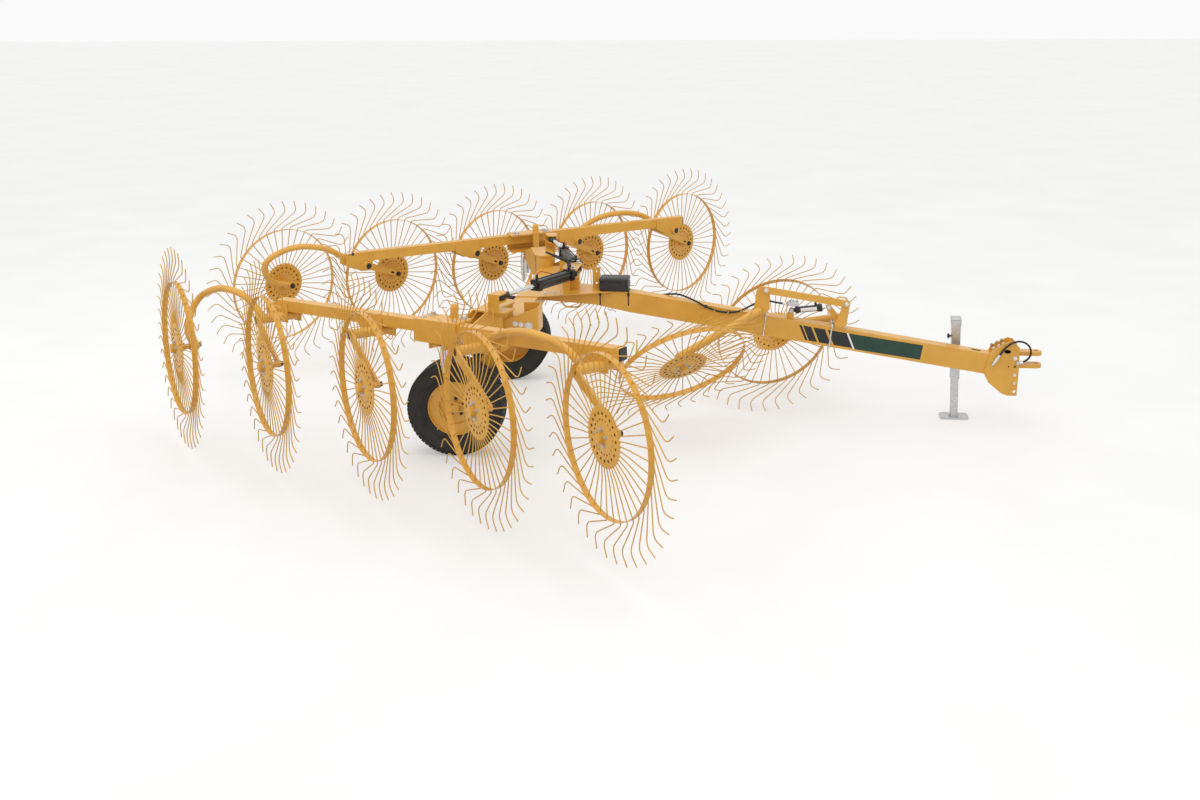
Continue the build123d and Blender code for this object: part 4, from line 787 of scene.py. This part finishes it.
class RAKE_OT_fold_cylinders(bpy.types.Operator):
    """Tie rod nuts, ports, clevis sleeves and lock cords of the fold cylinders"""

    bl_idname = "rake.fold_cylinders"
    bl_label = "Fold cylinders"

    def execute(self, context):
        along = (FOLD_EYE - FOLD_BASE).normalized()
        side = UP.cross(along).normalized()
        over = along.cross(side)
        start, end = FOLD_BASE + along * 0.046, FOLD_BASE + along * 0.516
        tie_rod = 0.029
        port_inset = 0.021

        def nuts(form):
            for a in (-1, 1):
                for b in (-1, 1):
                    corner = side * (tie_rod * a) + over * (tie_rod * b)
                    hexagon_bolt(form, start + corner, -along, 0.014, 0.008, 0.008)
                    hexagon_bolt(form, end + corner, along, 0.014, 0.010, 0.008)
            for middle in (start + along * port_inset, end - along * port_inset):
                bars(form, middle, over, ((0.036, 0.056, 0.012, 6, 0.001), (0.050, 0.074, 0.009, 16)))
            bar(form, end, end + along * 0.014, 0.0245, 28, 0.003)
        both_sides("cylinder nuts", nuts, "cylinder", "fold_cylinder")

        def clevis(form):
            bar(form, FOLD_EYE - along * 0.086, FOLD_EYE - along * 0.036, 0.0225, 28, 0.004)
            skin(form, [
                ring(form, FOLD_EYE + UP * height, FORWARD, LEFTWARD, radius, 40)
                for radius, height in ((0.0335, -0.0155), (0.0335, 0.0155), (0.020, 0.0155), (0.020, -0.0155))
            ], True)
        both_sides("rod clevis", clevis, "cylinder", "fold_piston")

        def cord(form):
            port = end - along * port_inset + over * 0.066
            points = [
                # Along the barrel, out from it, to its side
                port + along * x + over * y + side * z for x, y, z in (
                    (0, 0, 0), (-0.010, 0.016, 0), (-0.050, 0.024, 0.006), (-0.095, 0.010, -0.004),
                    (-0.150, -0.004, 0.004), (-0.200, -0.022, 0))]
            wire(form, rounded(points, [0.018, 0.05, 0.07, 0.09], 4), 0.0034)
        both_sides("lock cord", cord, "red", "fold_cylinder")

        def tee(form):
            middle = at(650.0, 0.0, 1134.0)
            bar(form, middle, middle + UP * 0.024, 0.016, 6, 0.001)
            bevelled(form, middle + Vector((-0.017, -0.030, 0.022)), middle + Vector((0.017, 0.030, 0.050)), 0.005)
            for _, sign in SIDES:
                first = middle + Vector((0, 0.030 * sign, 0.036))
                wire(form, rounded([
                    first, first + Vector((0.0, 0.026 * sign, 0.004)), at(672.0, 92.0 * sign, 1170.0),
                    at(680.0, 128.0 * sign, 1158.0)], [0.016, 0.03], 4), 0.0075, 12)
            bars(form, middle + Vector((-0.017, 0, 0.036)), Vector((-0.90, 0.30, 0.28)).normalized(), (
                (0.0, 0.060, 0.0145, 6, 0.002), (0.055, 0.120, 0.0115, 20, 0.003),
                (0.115, 0.185, 0.0075, 16, 0.003)))
        put("hose_tee", tee, "hose", "cart")

        def base_bolts(form):
            for _, sign in SIDES:
                spot = at(700.0, 100.0 * sign, 1133.0)
                bar(form, spot, spot + UP * 0.006, 0.020, 28)
                hexagon_bolt(form, spot + UP * 0.005, UP, 0.024, 0.015, 0.015)
                for x, y in ((500.0, 180.0), (560.0, 150.0)):
                    hexagon_bolt(form, at(x, y * sign, 961.0), UP, 0.024, 0.016, 0.020)
        put("anchor_bolts", base_bolts, "bolt", "cart")

        def cheek_bolts(form):
            for x, z, across in ((419.0, 921.0, 0.019), (459.0, 914.0, 0.019), (512.0, 907.0, 0.030)):
                hexagon_bolt(form, at(x, -856.0, z), RIGHTWARD, across, across * 0.62, across * 0.92)
        both_sides("cheek bolts", cheek_bolts, "bolt", "cart", sided=False)
        return {"FINISHED"}


class RAKE_OT_kicker_fittings(bpy.types.Operator):
    """Pins, clamps, blank label and fittings of the kicker linkage"""

    bl_idname = "rake.kicker_fittings"
    bl_label = "Kicker fittings"

    def execute(self, context):
        def tie_pins(form):
            for x, z in ((2106.0, 996.2), (2684.0, 904.6)):
                bars(form, at(x, -100.0, z), RIGHTWARD, (
                    (0.0, 0.0032, 0.0175, 28, 0.001), (0.0032, 0.0102, 0.0135, 28, 0.004)))
        put("tie_pins", tie_pins, "bolt", "kicker_tie")

        def loop(form):
            corners = [
                at(x, -94.0, z) for x, z in ((2600.0, 917.0), (2622.0, 955.0), (2678.0, 949.0), (2700.0, 902.0))]
            wire(form, rounded(corners, [0.018, 0.018], 6), 0.0055, 12)
        put("tie_loop", loop, "paint", "kicker_tie")

        # Wider cheeks over the two uprights
        cheeks = (
            ("rear", ((2010.0, 800.0), (2034.0, 992.0), (2050.0, 1014.0), (2080.0, 1021.0), (2110.0, 1021.0),
                      (2128.0, 1004.0), (2132.0, 852.0), (2092.0, 815.0))),
            ("front", ((2612.0, 731.0), (2628.0, 750.0), (2645.0, 880.0), (2662.0, 918.0), (2690.0, 930.0),
                       (2709.0, 914.0), (2704.0, 880.0), (2684.0, 752.0), (2668.0, 731.0))),
        )
        for name, outline in cheeks:
            def cheek(form, outline=outline):
                sheet_piece(form, [at(x, -84.4, z) for x, z in outline], RIGHTWARD, 0.0028)
            put(name + "_upright_cheek", cheek, "paint", "kicker_" + name)

        def clamps(form):
            reach = 57.5
            for x in (2106.0, 2584.0):
                top, low = bar_top(x) + 6.0, bar_top(x) - 151.9
                corners = [
                    at(x, -reach, top + 20.0), at(x - 24.0, -reach, low - 5.0), at(x - 24.0, reach, low - 5.0),
                    at(x, reach, top + 20.0)]
                wire(form, rounded(corners, [0.012, 0.012]), 0.0055, 12)
                for y in (-reach, reach):
                    hexagon_bolt(form, at(x, y, top - 1.0), UP, 0.018, 0.012, 0.014)
            for shaft in (2052.0, 2630.0):
                for x in (shaft - 44.0, shaft + 44.0):
                    for y in (-40.0, 40.0):
                        hexagon_bolt(form, at(x, y, bar_top(x) + 6.0), UP, 0.016, 0.011, 0.013)
        put("bar_clamps", clamps, "bolt", "cart")

        base, eye = at(2287.0, 0.0, 826.0), at(2559.0, 0.0, 856.7)
        along = (eye - base).normalized()
        over = along.cross(LEFTWARD)

        def collars(form):
            bars(form, base, along, (
                (0.014, 0.030, 0.0155, 24, 0.002), (0.028, 0.054, 0.0282, 32, 0.004),
                (0.192, 0.226, 0.0290, 32, 0.004)))
            port = base + along * 0.180
            bars(form, port, over, ((0.020, 0.036, 0.0105, 6, 0.001), (0.034, 0.044, 0.0080, 16, 0.001)))
        put("kicker_collars", collars, "cylinder", "kicker_cylinder")

        def label(form):
            rows = []
            for k in range(9):
                angle = math.radians(-34 + 68 * k / 8)
                out = RIGHTWARD * math.cos(angle) + over * math.sin(angle)
                rows.append([
                    form.verts.new(base + along * reach + out * 0.0234) for reach in (0.068, 0.110, 0.150, 0.186)])
            for first, second in zip(rows, rows[1:]):
                for k in range(3):
                    form.faces.new((first[k], first[k + 1], second[k + 1], second[k]))
        put("cylinder_label", label, "white_film", "kicker_cylinder")

        def pin(form, centre, first, across, height, washer):
            shoulder = centre + RIGHTWARD * (first + 0.006)
            bar(form, centre + RIGHTWARD * first, shoulder, 0.0155, 28, 0.002)
            hexagon_bolt(form, shoulder, RIGHTWARD, across, height, washer)

        put("lever_pin", lambda form: pin(form, eye, 0.020, 0.016, 0.008, 0.010), "bolt", "kicker_front")

        def base_pin(form):
            pin(form, base, 0.018, 0.017, 0.009, 0.011)
            # Manifold block with its three plugs
            bevelled(form, at(2256.5, -46.0, 868.0), at(2340.0, -20.0, 902.0), 0.003)
            for x in (2275.0, 2300.0, 2325.0):
                bar(form, at(x, -33.0, 901.0), at(x, -33.0, 912.0), 0.008, 6, 0.0008)
        put("base_pin", base_pin, "zinc", "cart")

        for side, body in (("right", "kicker_rear"), ("left", "kicker_front")):
            joint = JOINTS["kicker_wheel_%s_spin" % side]
            axis = Vector(joint["axis"]).normalized()
            if axis.z < 0:
                axis = -axis
            place = Vector(joint["pos_m"]) + axis * 0.078

            def cap(form, place=place, axis=axis):
                bar(form, place, place + axis * 0.006, 0.0235, 28, 0.002)
                hexagon_bolt(form, place + axis * 0.006, axis, 0.024, 0.012, 0.016)
            put(side + "_arm_cap", cap, "bolt", body)
        return {"FINISHED"}


class RAKE_OT_drawbar_dressing(bpy.types.Operator):
    """Papers box with its straps, stripes, blank green panel, painted shade of the top slot and hitch bolts"""

    bl_idname = "rake.drawbar_dressing"
    bl_label = "Drawbar dressing"

    def execute(self, context):
        def box(form):
            low, high = at(880.0, -75.0, 961.0), at(1098.0, 75.0, 1057.0)
            bevelled(
                form, low + Vector((0.001, 0.001, 0)), Vector((high.x - 0.001, high.y - 0.001, low.z + 0.062)),
                0.012, 4)
            bevelled(form, Vector((low.x, low.y, low.z + 0.0635)), high, 0.014, 4)
            bevelled(
                form, low + Vector((0.006, 0.006, 0.050)), Vector((high.x - 0.006, high.y - 0.006, low.z + 0.078)),
                0.004)
            for x in (935.0, 1043.0):
                bevelled(form, at(x - 14.0, -74.9, 1010.0), at(x + 14.0, -70.0, 1036.0), 0.002)
        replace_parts(put("papers_box", box, "plastic", "cart"), "manual_box")

        def straps(form):
            for x, top in ((886.0, 962.6), (1095.0, 956.6)):
                loops = []
                for shift, inset in ((-4.5, 0.0), (4.5, 0.0), (4.5, 1.6), (-4.5, 1.6)):
                    half, low, high = 53.0 - inset, 851.6 + inset, top - inset
                    loops.append([
                        form.verts.new(at(x + shift, y, z))
                        for y, z in ((-half, low), (half, low), (half, high), (-half, high))])
                skin(form, loops, True)
                bevelled(form, at(x - 9.0, -56.5, 925.0), at(x + 9.0, -51.0, 945.0), 0.0015)
        put("box_straps", straps, "hose", "cart")

        def eye_bolt(form):
            centre = at(958.0, -40.0, 826.0)
            wire(form, ellipse(centre, FORWARD * 0.016, UP * 0.016, 24), 0.0035, 10, closed=True)
            bar(form, centre + UP * 0.014, at(958.0, -40.0, 857.0), 0.005, 12, 0.0005)
        put("eye_bolt", eye_bolt, "bolt", "cart")

        # Stripes, slanting line and panel on the side: corners as x and drop below the top face at another x
        lean, upper, lower = 44.0, 27.0, 139.0
        bands = [
            ("stripe_%d" % (index + 1), "black_film", (
                (rear, upper, rear), (front, upper, front), (front + lean, lower, front), (rear + lean, lower, rear)))
            for index, (rear, front) in enumerate(
                ((2344.0, 2363.0), (2372.0, 2431.0), (2446.0, 2530.0), (2551.0, 2686.0)))]
        bands.append(("slash", "white_film", (
            (2688.0, upper, 2688.0), (2701.0, upper, 2701.0), (2701.0 + lean, 145.0, 2701.0),
            (2688.0 + lean, 145.0, 2688.0))))
        bands.append(("panel", "green_film", (
            (2702.0, upper, 2702.0), (3236.0, 20.0, 3236.0), (3214.0, 131.0, 3214.0),
            (2702.0 + lean, 137.0, 2702.0 + lean))))
        for name, material, corners in bands:
            def band(form, corners=corners):
                sheet_piece(
                    form, [at(x, -BAR_SIDE, bar_top(level) - drop) for x, drop, level in corners], RIGHTWARD, FILM)
            put(name, band, material, "cart")

        # A film of painted shade on the drawbar's top, where its slot is
        def slot(form):
            outline = []
            for a in round_steps(28):
                x = 3620.0 + 20.0 * math.copysign(1, math.cos(a)) + 13.0 * math.cos(a)
                outline.append(at(x, 13.0 * math.sin(a), bar_top(x) + 0.1))
            sheet_piece(form, outline, UP, FILM)
        put("top_slot_shade", slot, "gap", "cart")

        def hitch_bolts(form):
            for way in (-1, 1):
                for z, across in ((332.0, 0.013), (394.0, 0.017), (518.0, 0.021)):
                    hexagon_bolt(
                        form, at(3885.0, CHEEK_SIDE * way, z), LEFTWARD * way, across, across * 0.5, across * 0.72)
                for x, z in ((3735.0, 586.0), (3770.0, 604.0), (3805.0, 621.0)):
                    hexagon_bolt(form, at(x, BAR_SIDE * way, z), RIGHTWARD * way, 0.017, 0.010, 0.012)
        put("hitch_bolts", hitch_bolts, "bolt", "cart")

        # Films of painted shade on the near cheek, where its openings are
        def hitch_gap_shade(form):
            for x, z, wide, high in ((3831.0, 566.0, 24.0, 14.0), (3841.0, 456.0, 5.0, 5.0)):
                outline = ellipse(at(x, -CHEEK_SIDE, z), FORWARD * (wide * MM), UP * (high * MM), 24)
                sheet_piece(form, outline, RIGHTWARD, FILM)
        put("hitch_gap_shade", hitch_gap_shade, "gap", "cart")
        return {"FINISHED"}


class RAKE_OT_jack(bpy.types.Operator):
    """Square tube, bracket, leg, foot plate and knob of the parking jack"""

    bl_idname = "rake.jack"
    bl_label = "Parking jack"

    def execute(self, context):
        jack_x, jack_y = 3490.0, 146.0
        ground = at(jack_x, jack_y, 0.0)
        bracket = bar_top(jack_x) - 76.0

        def square_tube(form, profile):
            skin(form, [[
                form.verts.new(ground + Vector((x, y, height)))
                for x, y in soft_corners(half, half, 0.006, (-30, 0, 30))
            ] for half, height in profile], caps=BOTH_ENDS)

        def tube(form):
            square_tube(form, (
                (0.028, 0.300), (0.032, 0.300), (0.032, 0.690), (0.036, 0.712), (0.036, 0.742), (0.0345, 0.743),
                (0.0375, 0.745), (0.0375, 0.757), (0.0355, 0.760)))
            bevelled(
                form, at(jack_x - 40.0, 51.2, bracket - 45.0), at(jack_x + 40.0, 115.0, bracket + 45.0), 0.004)
            for x in (jack_x - 28.0, jack_x + 28.0):
                for z in (bracket - 30.0, bracket + 30.0):
                    hexagon_bolt(form, at(x, 50.8, z), RIGHTWARD, 0.016, 0.001, 0.010)
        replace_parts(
            object_of("jack_tube_dressed", mesh_of("jack tube", tube), "zinc", "cart", "galvanised"), "jack_tube")

        def leg(form):
            square_tube(form, ((0.0267, 0.008), (0.0267, 0.359), (0.022, 0.360)))
            outline = [
                ground + Vector((x, y, 0)) for x, y in soft_corners(0.104, 0.062, 0.022, (-40, -20, 0, 20, 40))]
            sheet_piece(form, outline, UP, 0.009)
            wire(form, [point + UP * 0.009 + (point - ground) * -0.02 for point in outline], 0.0028, closed=True)
            for x in (-1, 1):
                sheet_piece(form, [
                    ground + Vector((x * reach, -0.003, height))
                    for reach, height in ((0.026, 0.008), (0.026, 0.024), (0.042, 0.008))], LEFTWARD, 0.006)
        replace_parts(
            object_of("jack_leg_dressed", mesh_of("jack leg", leg), "zinc", "jack_leg", "galvanised"), "jack_leg")

        def knob(form):
            spot = at(jack_x - 32.5, jack_y, 617.0)
            bar(form, spot, spot - FORWARD * 0.012, 0.007, 16)
            skin(form, [
                ring(form, spot - FORWARD * height, UP, LEFTWARD, radius, 28)
                for radius, height in (
                    (0.0005, 0.011), (0.011, 0.011), (0.018, 0.016), (0.019, 0.022), (0.014, 0.028), (0.0005, 0.030))])
        put("jack_knob", knob, "plastic", "cart")
        return {"FINISHED"}


HOSE_ROUTES = {
    # Node, its length, where it ends, and its points in millimetres
    "lift_hose": (1.04, "object", (
        (1300.0, 62.0, 905.0), (1380.0, 61.0, 917.0), (1455.0, 36.0, 925.0), (1530.0, -12.0, 912.0),
        (1600.0, -58.0, 892.0), (1665.0, -70.0, 858.0), (1740.0, -70.0, 829.0), (1830.0, -68.0, 815.0),
        (1915.0, -65.0, 828.0), (1985.0, -59.0, 866.0), (2052.0, -47.0, 899.0), (2130.0, -40.0, 905.0),
        (2195.0, -36.0, 886.0), (2249.6, -33.0, 884.0))),
    "hitch_hose": (0.50, "fitting", (
        (3915.0, -70.3, 486.0), (3953.0, -72.0, 500.0), (3984.0, -75.0, 530.0), (3994.0, -77.0, 570.0),
        (3982.0, -78.0, 612.0), (3950.0, -79.0, 640.0), (3906.0, -79.0, 650.0), (3860.0, -78.0, 636.0),
        (3820.0, -78.0, 606.0), (3788.0, -77.0, 564.0), (3760.0, -77.0, 522.0))),
}
HOSE_THICK = 0.014


class RAKE_OT_hoses(bpy.types.Operator):
    """Hydraulic hoses along the drawbar and at the hitch"""

    bl_idname = "rake.hoses"
    bl_label = "Hoses"

    def execute(self, context):
        for name, (length, far_end, places) in HOSE_ROUTES.items():
            curve = bpy.data.curves.new(name, "CURVE")
            curve.dimensions = "3D"
            curve.bevel_depth = HOSE_THICK / 2
            curve.bevel_resolution = 5
            curve.use_fill_caps = True
            curve.resolution_u = 10
            spline = curve.splines.new("NURBS")
            spline.points.add(len(places) - 1)
            for point, place in zip(spline.points, places):
                point.co = (*at(*place), 1.0)
            spline.order_u = 3
            spline.use_endpoint_u = True
            piece = object_of(name + "_dressed", curve, "hose", "cart", "hose_rubber")
            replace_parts(piece, name)
            tuple(at(*places[0]))

        def ferrules(form):
            lift, hitch = HOSE_ROUTES["lift_hose"][2], HOSE_ROUTES["hitch_hose"][2]
            for route in (hitch[::-1], lift[::-1], lift, hitch):
                first, second = at(*route[0]), at(*route[1])
                bar(form, first, first + (second - first).normalized() * 0.026, 0.0098, 20, 0.001)
        put("hose_ferrules", ferrules, "bolt", "cart")

        def port(form):
            bevelled(form, at(3893.0, -78.0, 474.0), at(3914.0, -63.0, 498.0), 0.003)
        put("hose_port", port, "zinc", "cart")

        def guides(form):
            for x, z in ((1665.0, 858.0), (1830.0, 818.0)):
                bevelled(form, at(x - 9.0, -59.5, z - 12.0), at(x + 9.0, -51.0, z + 12.0), 0.002)
        put("hose_guides", guides, "plastic", "cart")
        return {"FINISHED"}


LAMPS = (
    # Name, place and aim in millimetres, width and depth in metres, power
    ("top softbox", (500.0, -1500.0, 7500.0), (500.0, 0.0, 600.0), 7.0, 6.0, 118.0),
    ("front softbox", (3500.0, -8500.0, 5200.0), (700.0, 0.0, 700.0), 5.0, 4.0, 84.0),
    ("left softbox", (-6500.0, -3500.0, 4500.0), (0.0, 0.0, 700.0), 4.0, 4.0, 52.0),
)
# The photograph's camera, fitted to the wheels: place in millimetres, then yaw, pitch and roll in degrees
CAMERA_PLACE = (2225.0, -9192.0, 3222.0)
CAMERA_TURN = (95.76, -8.12, -0.41)
CAMERA_LENS = {"sensor_width": 36.0, "lens": 38.54, "shift_x": -0.0463, "shift_y": -0.1973, "clip_end": 200.0}
FLOOR_REACH = 60.0
# How much light the floor adds where it is seen, and the sky's strength for light and for the eye
FLOOR_GLOW = 0.30
SKY_LIGHT, SKY_SEEN = 0.93, 0.955


class RAKE_OT_studio(bpy.types.Operator):
    """Camera of the photograph, pale floor and soft lamps"""

    bl_idname = "rake.studio"
    bl_label = "Studio"

    def execute(self, context):
        scene = context.scene
        yaw, pitch, roll = (math.radians(angle) for angle in CAMERA_TURN)
        ahead = Vector((math.cos(yaw) * math.cos(pitch), math.sin(yaw) * math.cos(pitch), math.sin(pitch)))
        right = ahead.cross(UP).normalized()
        up = right.cross(ahead)
        level = right * math.cos(roll) + up * math.sin(roll)
        upright = up * math.cos(roll) - right * math.sin(roll)
        lens = bpy.data.cameras.new("photograph")
        for name, value in CAMERA_LENS.items():
            setattr(lens, name, value)
        camera = bpy.data.objects.new("photograph", lens)
        matrix = Matrix((level, upright, -ahead)).transposed().to_4x4()
        matrix.translation = at(*CAMERA_PLACE)
        camera.matrix_world = matrix
        scene.collection.objects.link(camera)
        scene.camera = camera

        floor_mesh = bpy.data.meshes.new("studio floor")
        height = -PIN_HEIGHT - 0.001
        floor_mesh.from_pydata(
            [(x * FLOOR_REACH, y * FLOOR_REACH, height) for x, y in ((-1, -1), (1, -1), (1, 1), (-1, 1))],
            [], [(0, 1, 2, 3)])
        floor = bpy.data.objects.new("studio floor", floor_mesh)
        scene.collection.objects.link(floor)
        # Matt painted screed: pale grey with faint cloudy patches, lifted to near white where it is seen
        material, tree, shader, place = blank("painted studio floor")
        tree.links.new(
            mottled(tree, scene.rake_colours.floor, "#cfcfce", 900.0, place), shader.inputs["Base Color"])
        shader.inputs["Roughness"].default_value = 0.6
        shader.inputs["Specular IOR Level"].default_value = 0.15
        glow = add(tree, "ShaderNodeMath", {"operation": "MULTIPLY"})
        tree.links.new(seen_directly(tree), glow.inputs[0])
        glow.inputs[1].default_value = FLOOR_GLOW
        shader.inputs["Emission Color"].default_value = (1, 1, 1, 1)
        tree.links.new(glow.outputs[0], shader.inputs["Emission Strength"])
        floor_mesh.materials.append(material)

        world = bpy.data.worlds.new("studio")
        scene.world = world
        world.use_nodes = True
        tree = world.node_tree
        tree.nodes.clear()
        strength = add(tree, "ShaderNodeMapRange", inputs={
            "Value": seen_directly(tree), "From Min": 0.0, "From Max": 1.0, "To Min": SKY_LIGHT, "To Max": SKY_SEEN})
        sky = add(tree, "ShaderNodeBackground", inputs={
            "Color": (1, 1, 1, 1), "Strength": strength.outputs["Result"]})
        add(tree, "ShaderNodeOutputWorld", inputs={"Surface": sky.outputs["Background"]})

        for name, place, aim, width, depth, power in LAMPS:
            light = bpy.data.lights.new(name, "AREA")
            light.shape = "RECTANGLE"
            light.size = width
            light.size_y = depth
            light.energy = power
            lamp = bpy.data.objects.new(name, light)
            lamp.location = at(*place)
            lamp.rotation_euler = (at(*aim) - at(*place)).to_track_quat("-Z", "Y").to_euler()
            lamp.visible_camera = False
            scene.collection.objects.link(lamp)
        scene.view_settings.view_transform = "Standard"
        return {"FINISHED"}


class RAKE_PT_panel(bpy.types.Panel):
    """Sizes, colours and buttons of the rake"""

    bl_idname = "RAKE_PT_panel"
    bl_label = "Carted wheel rake"
    bl_space_type = "VIEW_3D"
    bl_region_type = "UI"
    bl_category = "Rake"

    def draw(self, context):
        for group in (context.scene.rake_sizes, context.scene.rake_colours):
            for name in group.__annotations__:
                self.layout.prop(group, name)
        for operator in OPERATORS:
            self.layout.operator(operator.bl_idname)


OPERATORS = (
    RAKE_OT_finishes, RAKE_OT_rake_wheels, RAKE_OT_road_wheels, RAKE_OT_arm_fittings, RAKE_OT_fold_cylinders,
    RAKE_OT_kicker_fittings, RAKE_OT_drawbar_dressing, RAKE_OT_jack, RAKE_OT_hoses, RAKE_OT_studio)
CLASSES = (RakeColours, RakeSizes) + OPERATORS + (RAKE_PT_panel,)


def register():
    for entry in CLASSES:
        bpy.utils.register_class(entry)
    bpy.types.Scene.rake_colours = bpy.props.PointerProperty(type=RakeColours)
    bpy.types.Scene.rake_sizes = bpy.props.PointerProperty(type=RakeSizes)


def unregister():
    del bpy.types.Scene.rake_sizes
    del bpy.types.Scene.rake_colours
    for entry in reversed(CLASSES):
        bpy.utils.unregister_class(entry)


def main():
    register()
    bpy.ops.rake.finishes()
    bpy.ops.rake.rake_wheels()
    bpy.ops.rake.road_wheels()
    bpy.ops.rake.arm_fittings()
    bpy.ops.rake.fold_cylinders()
    bpy.ops.rake.kicker_fittings()
    bpy.ops.rake.drawbar_dressing()
    bpy.ops.rake.jack()
    bpy.ops.rake.hoses()
    bpy.ops.rake.studio()


if __name__ == "__main__":
    main()
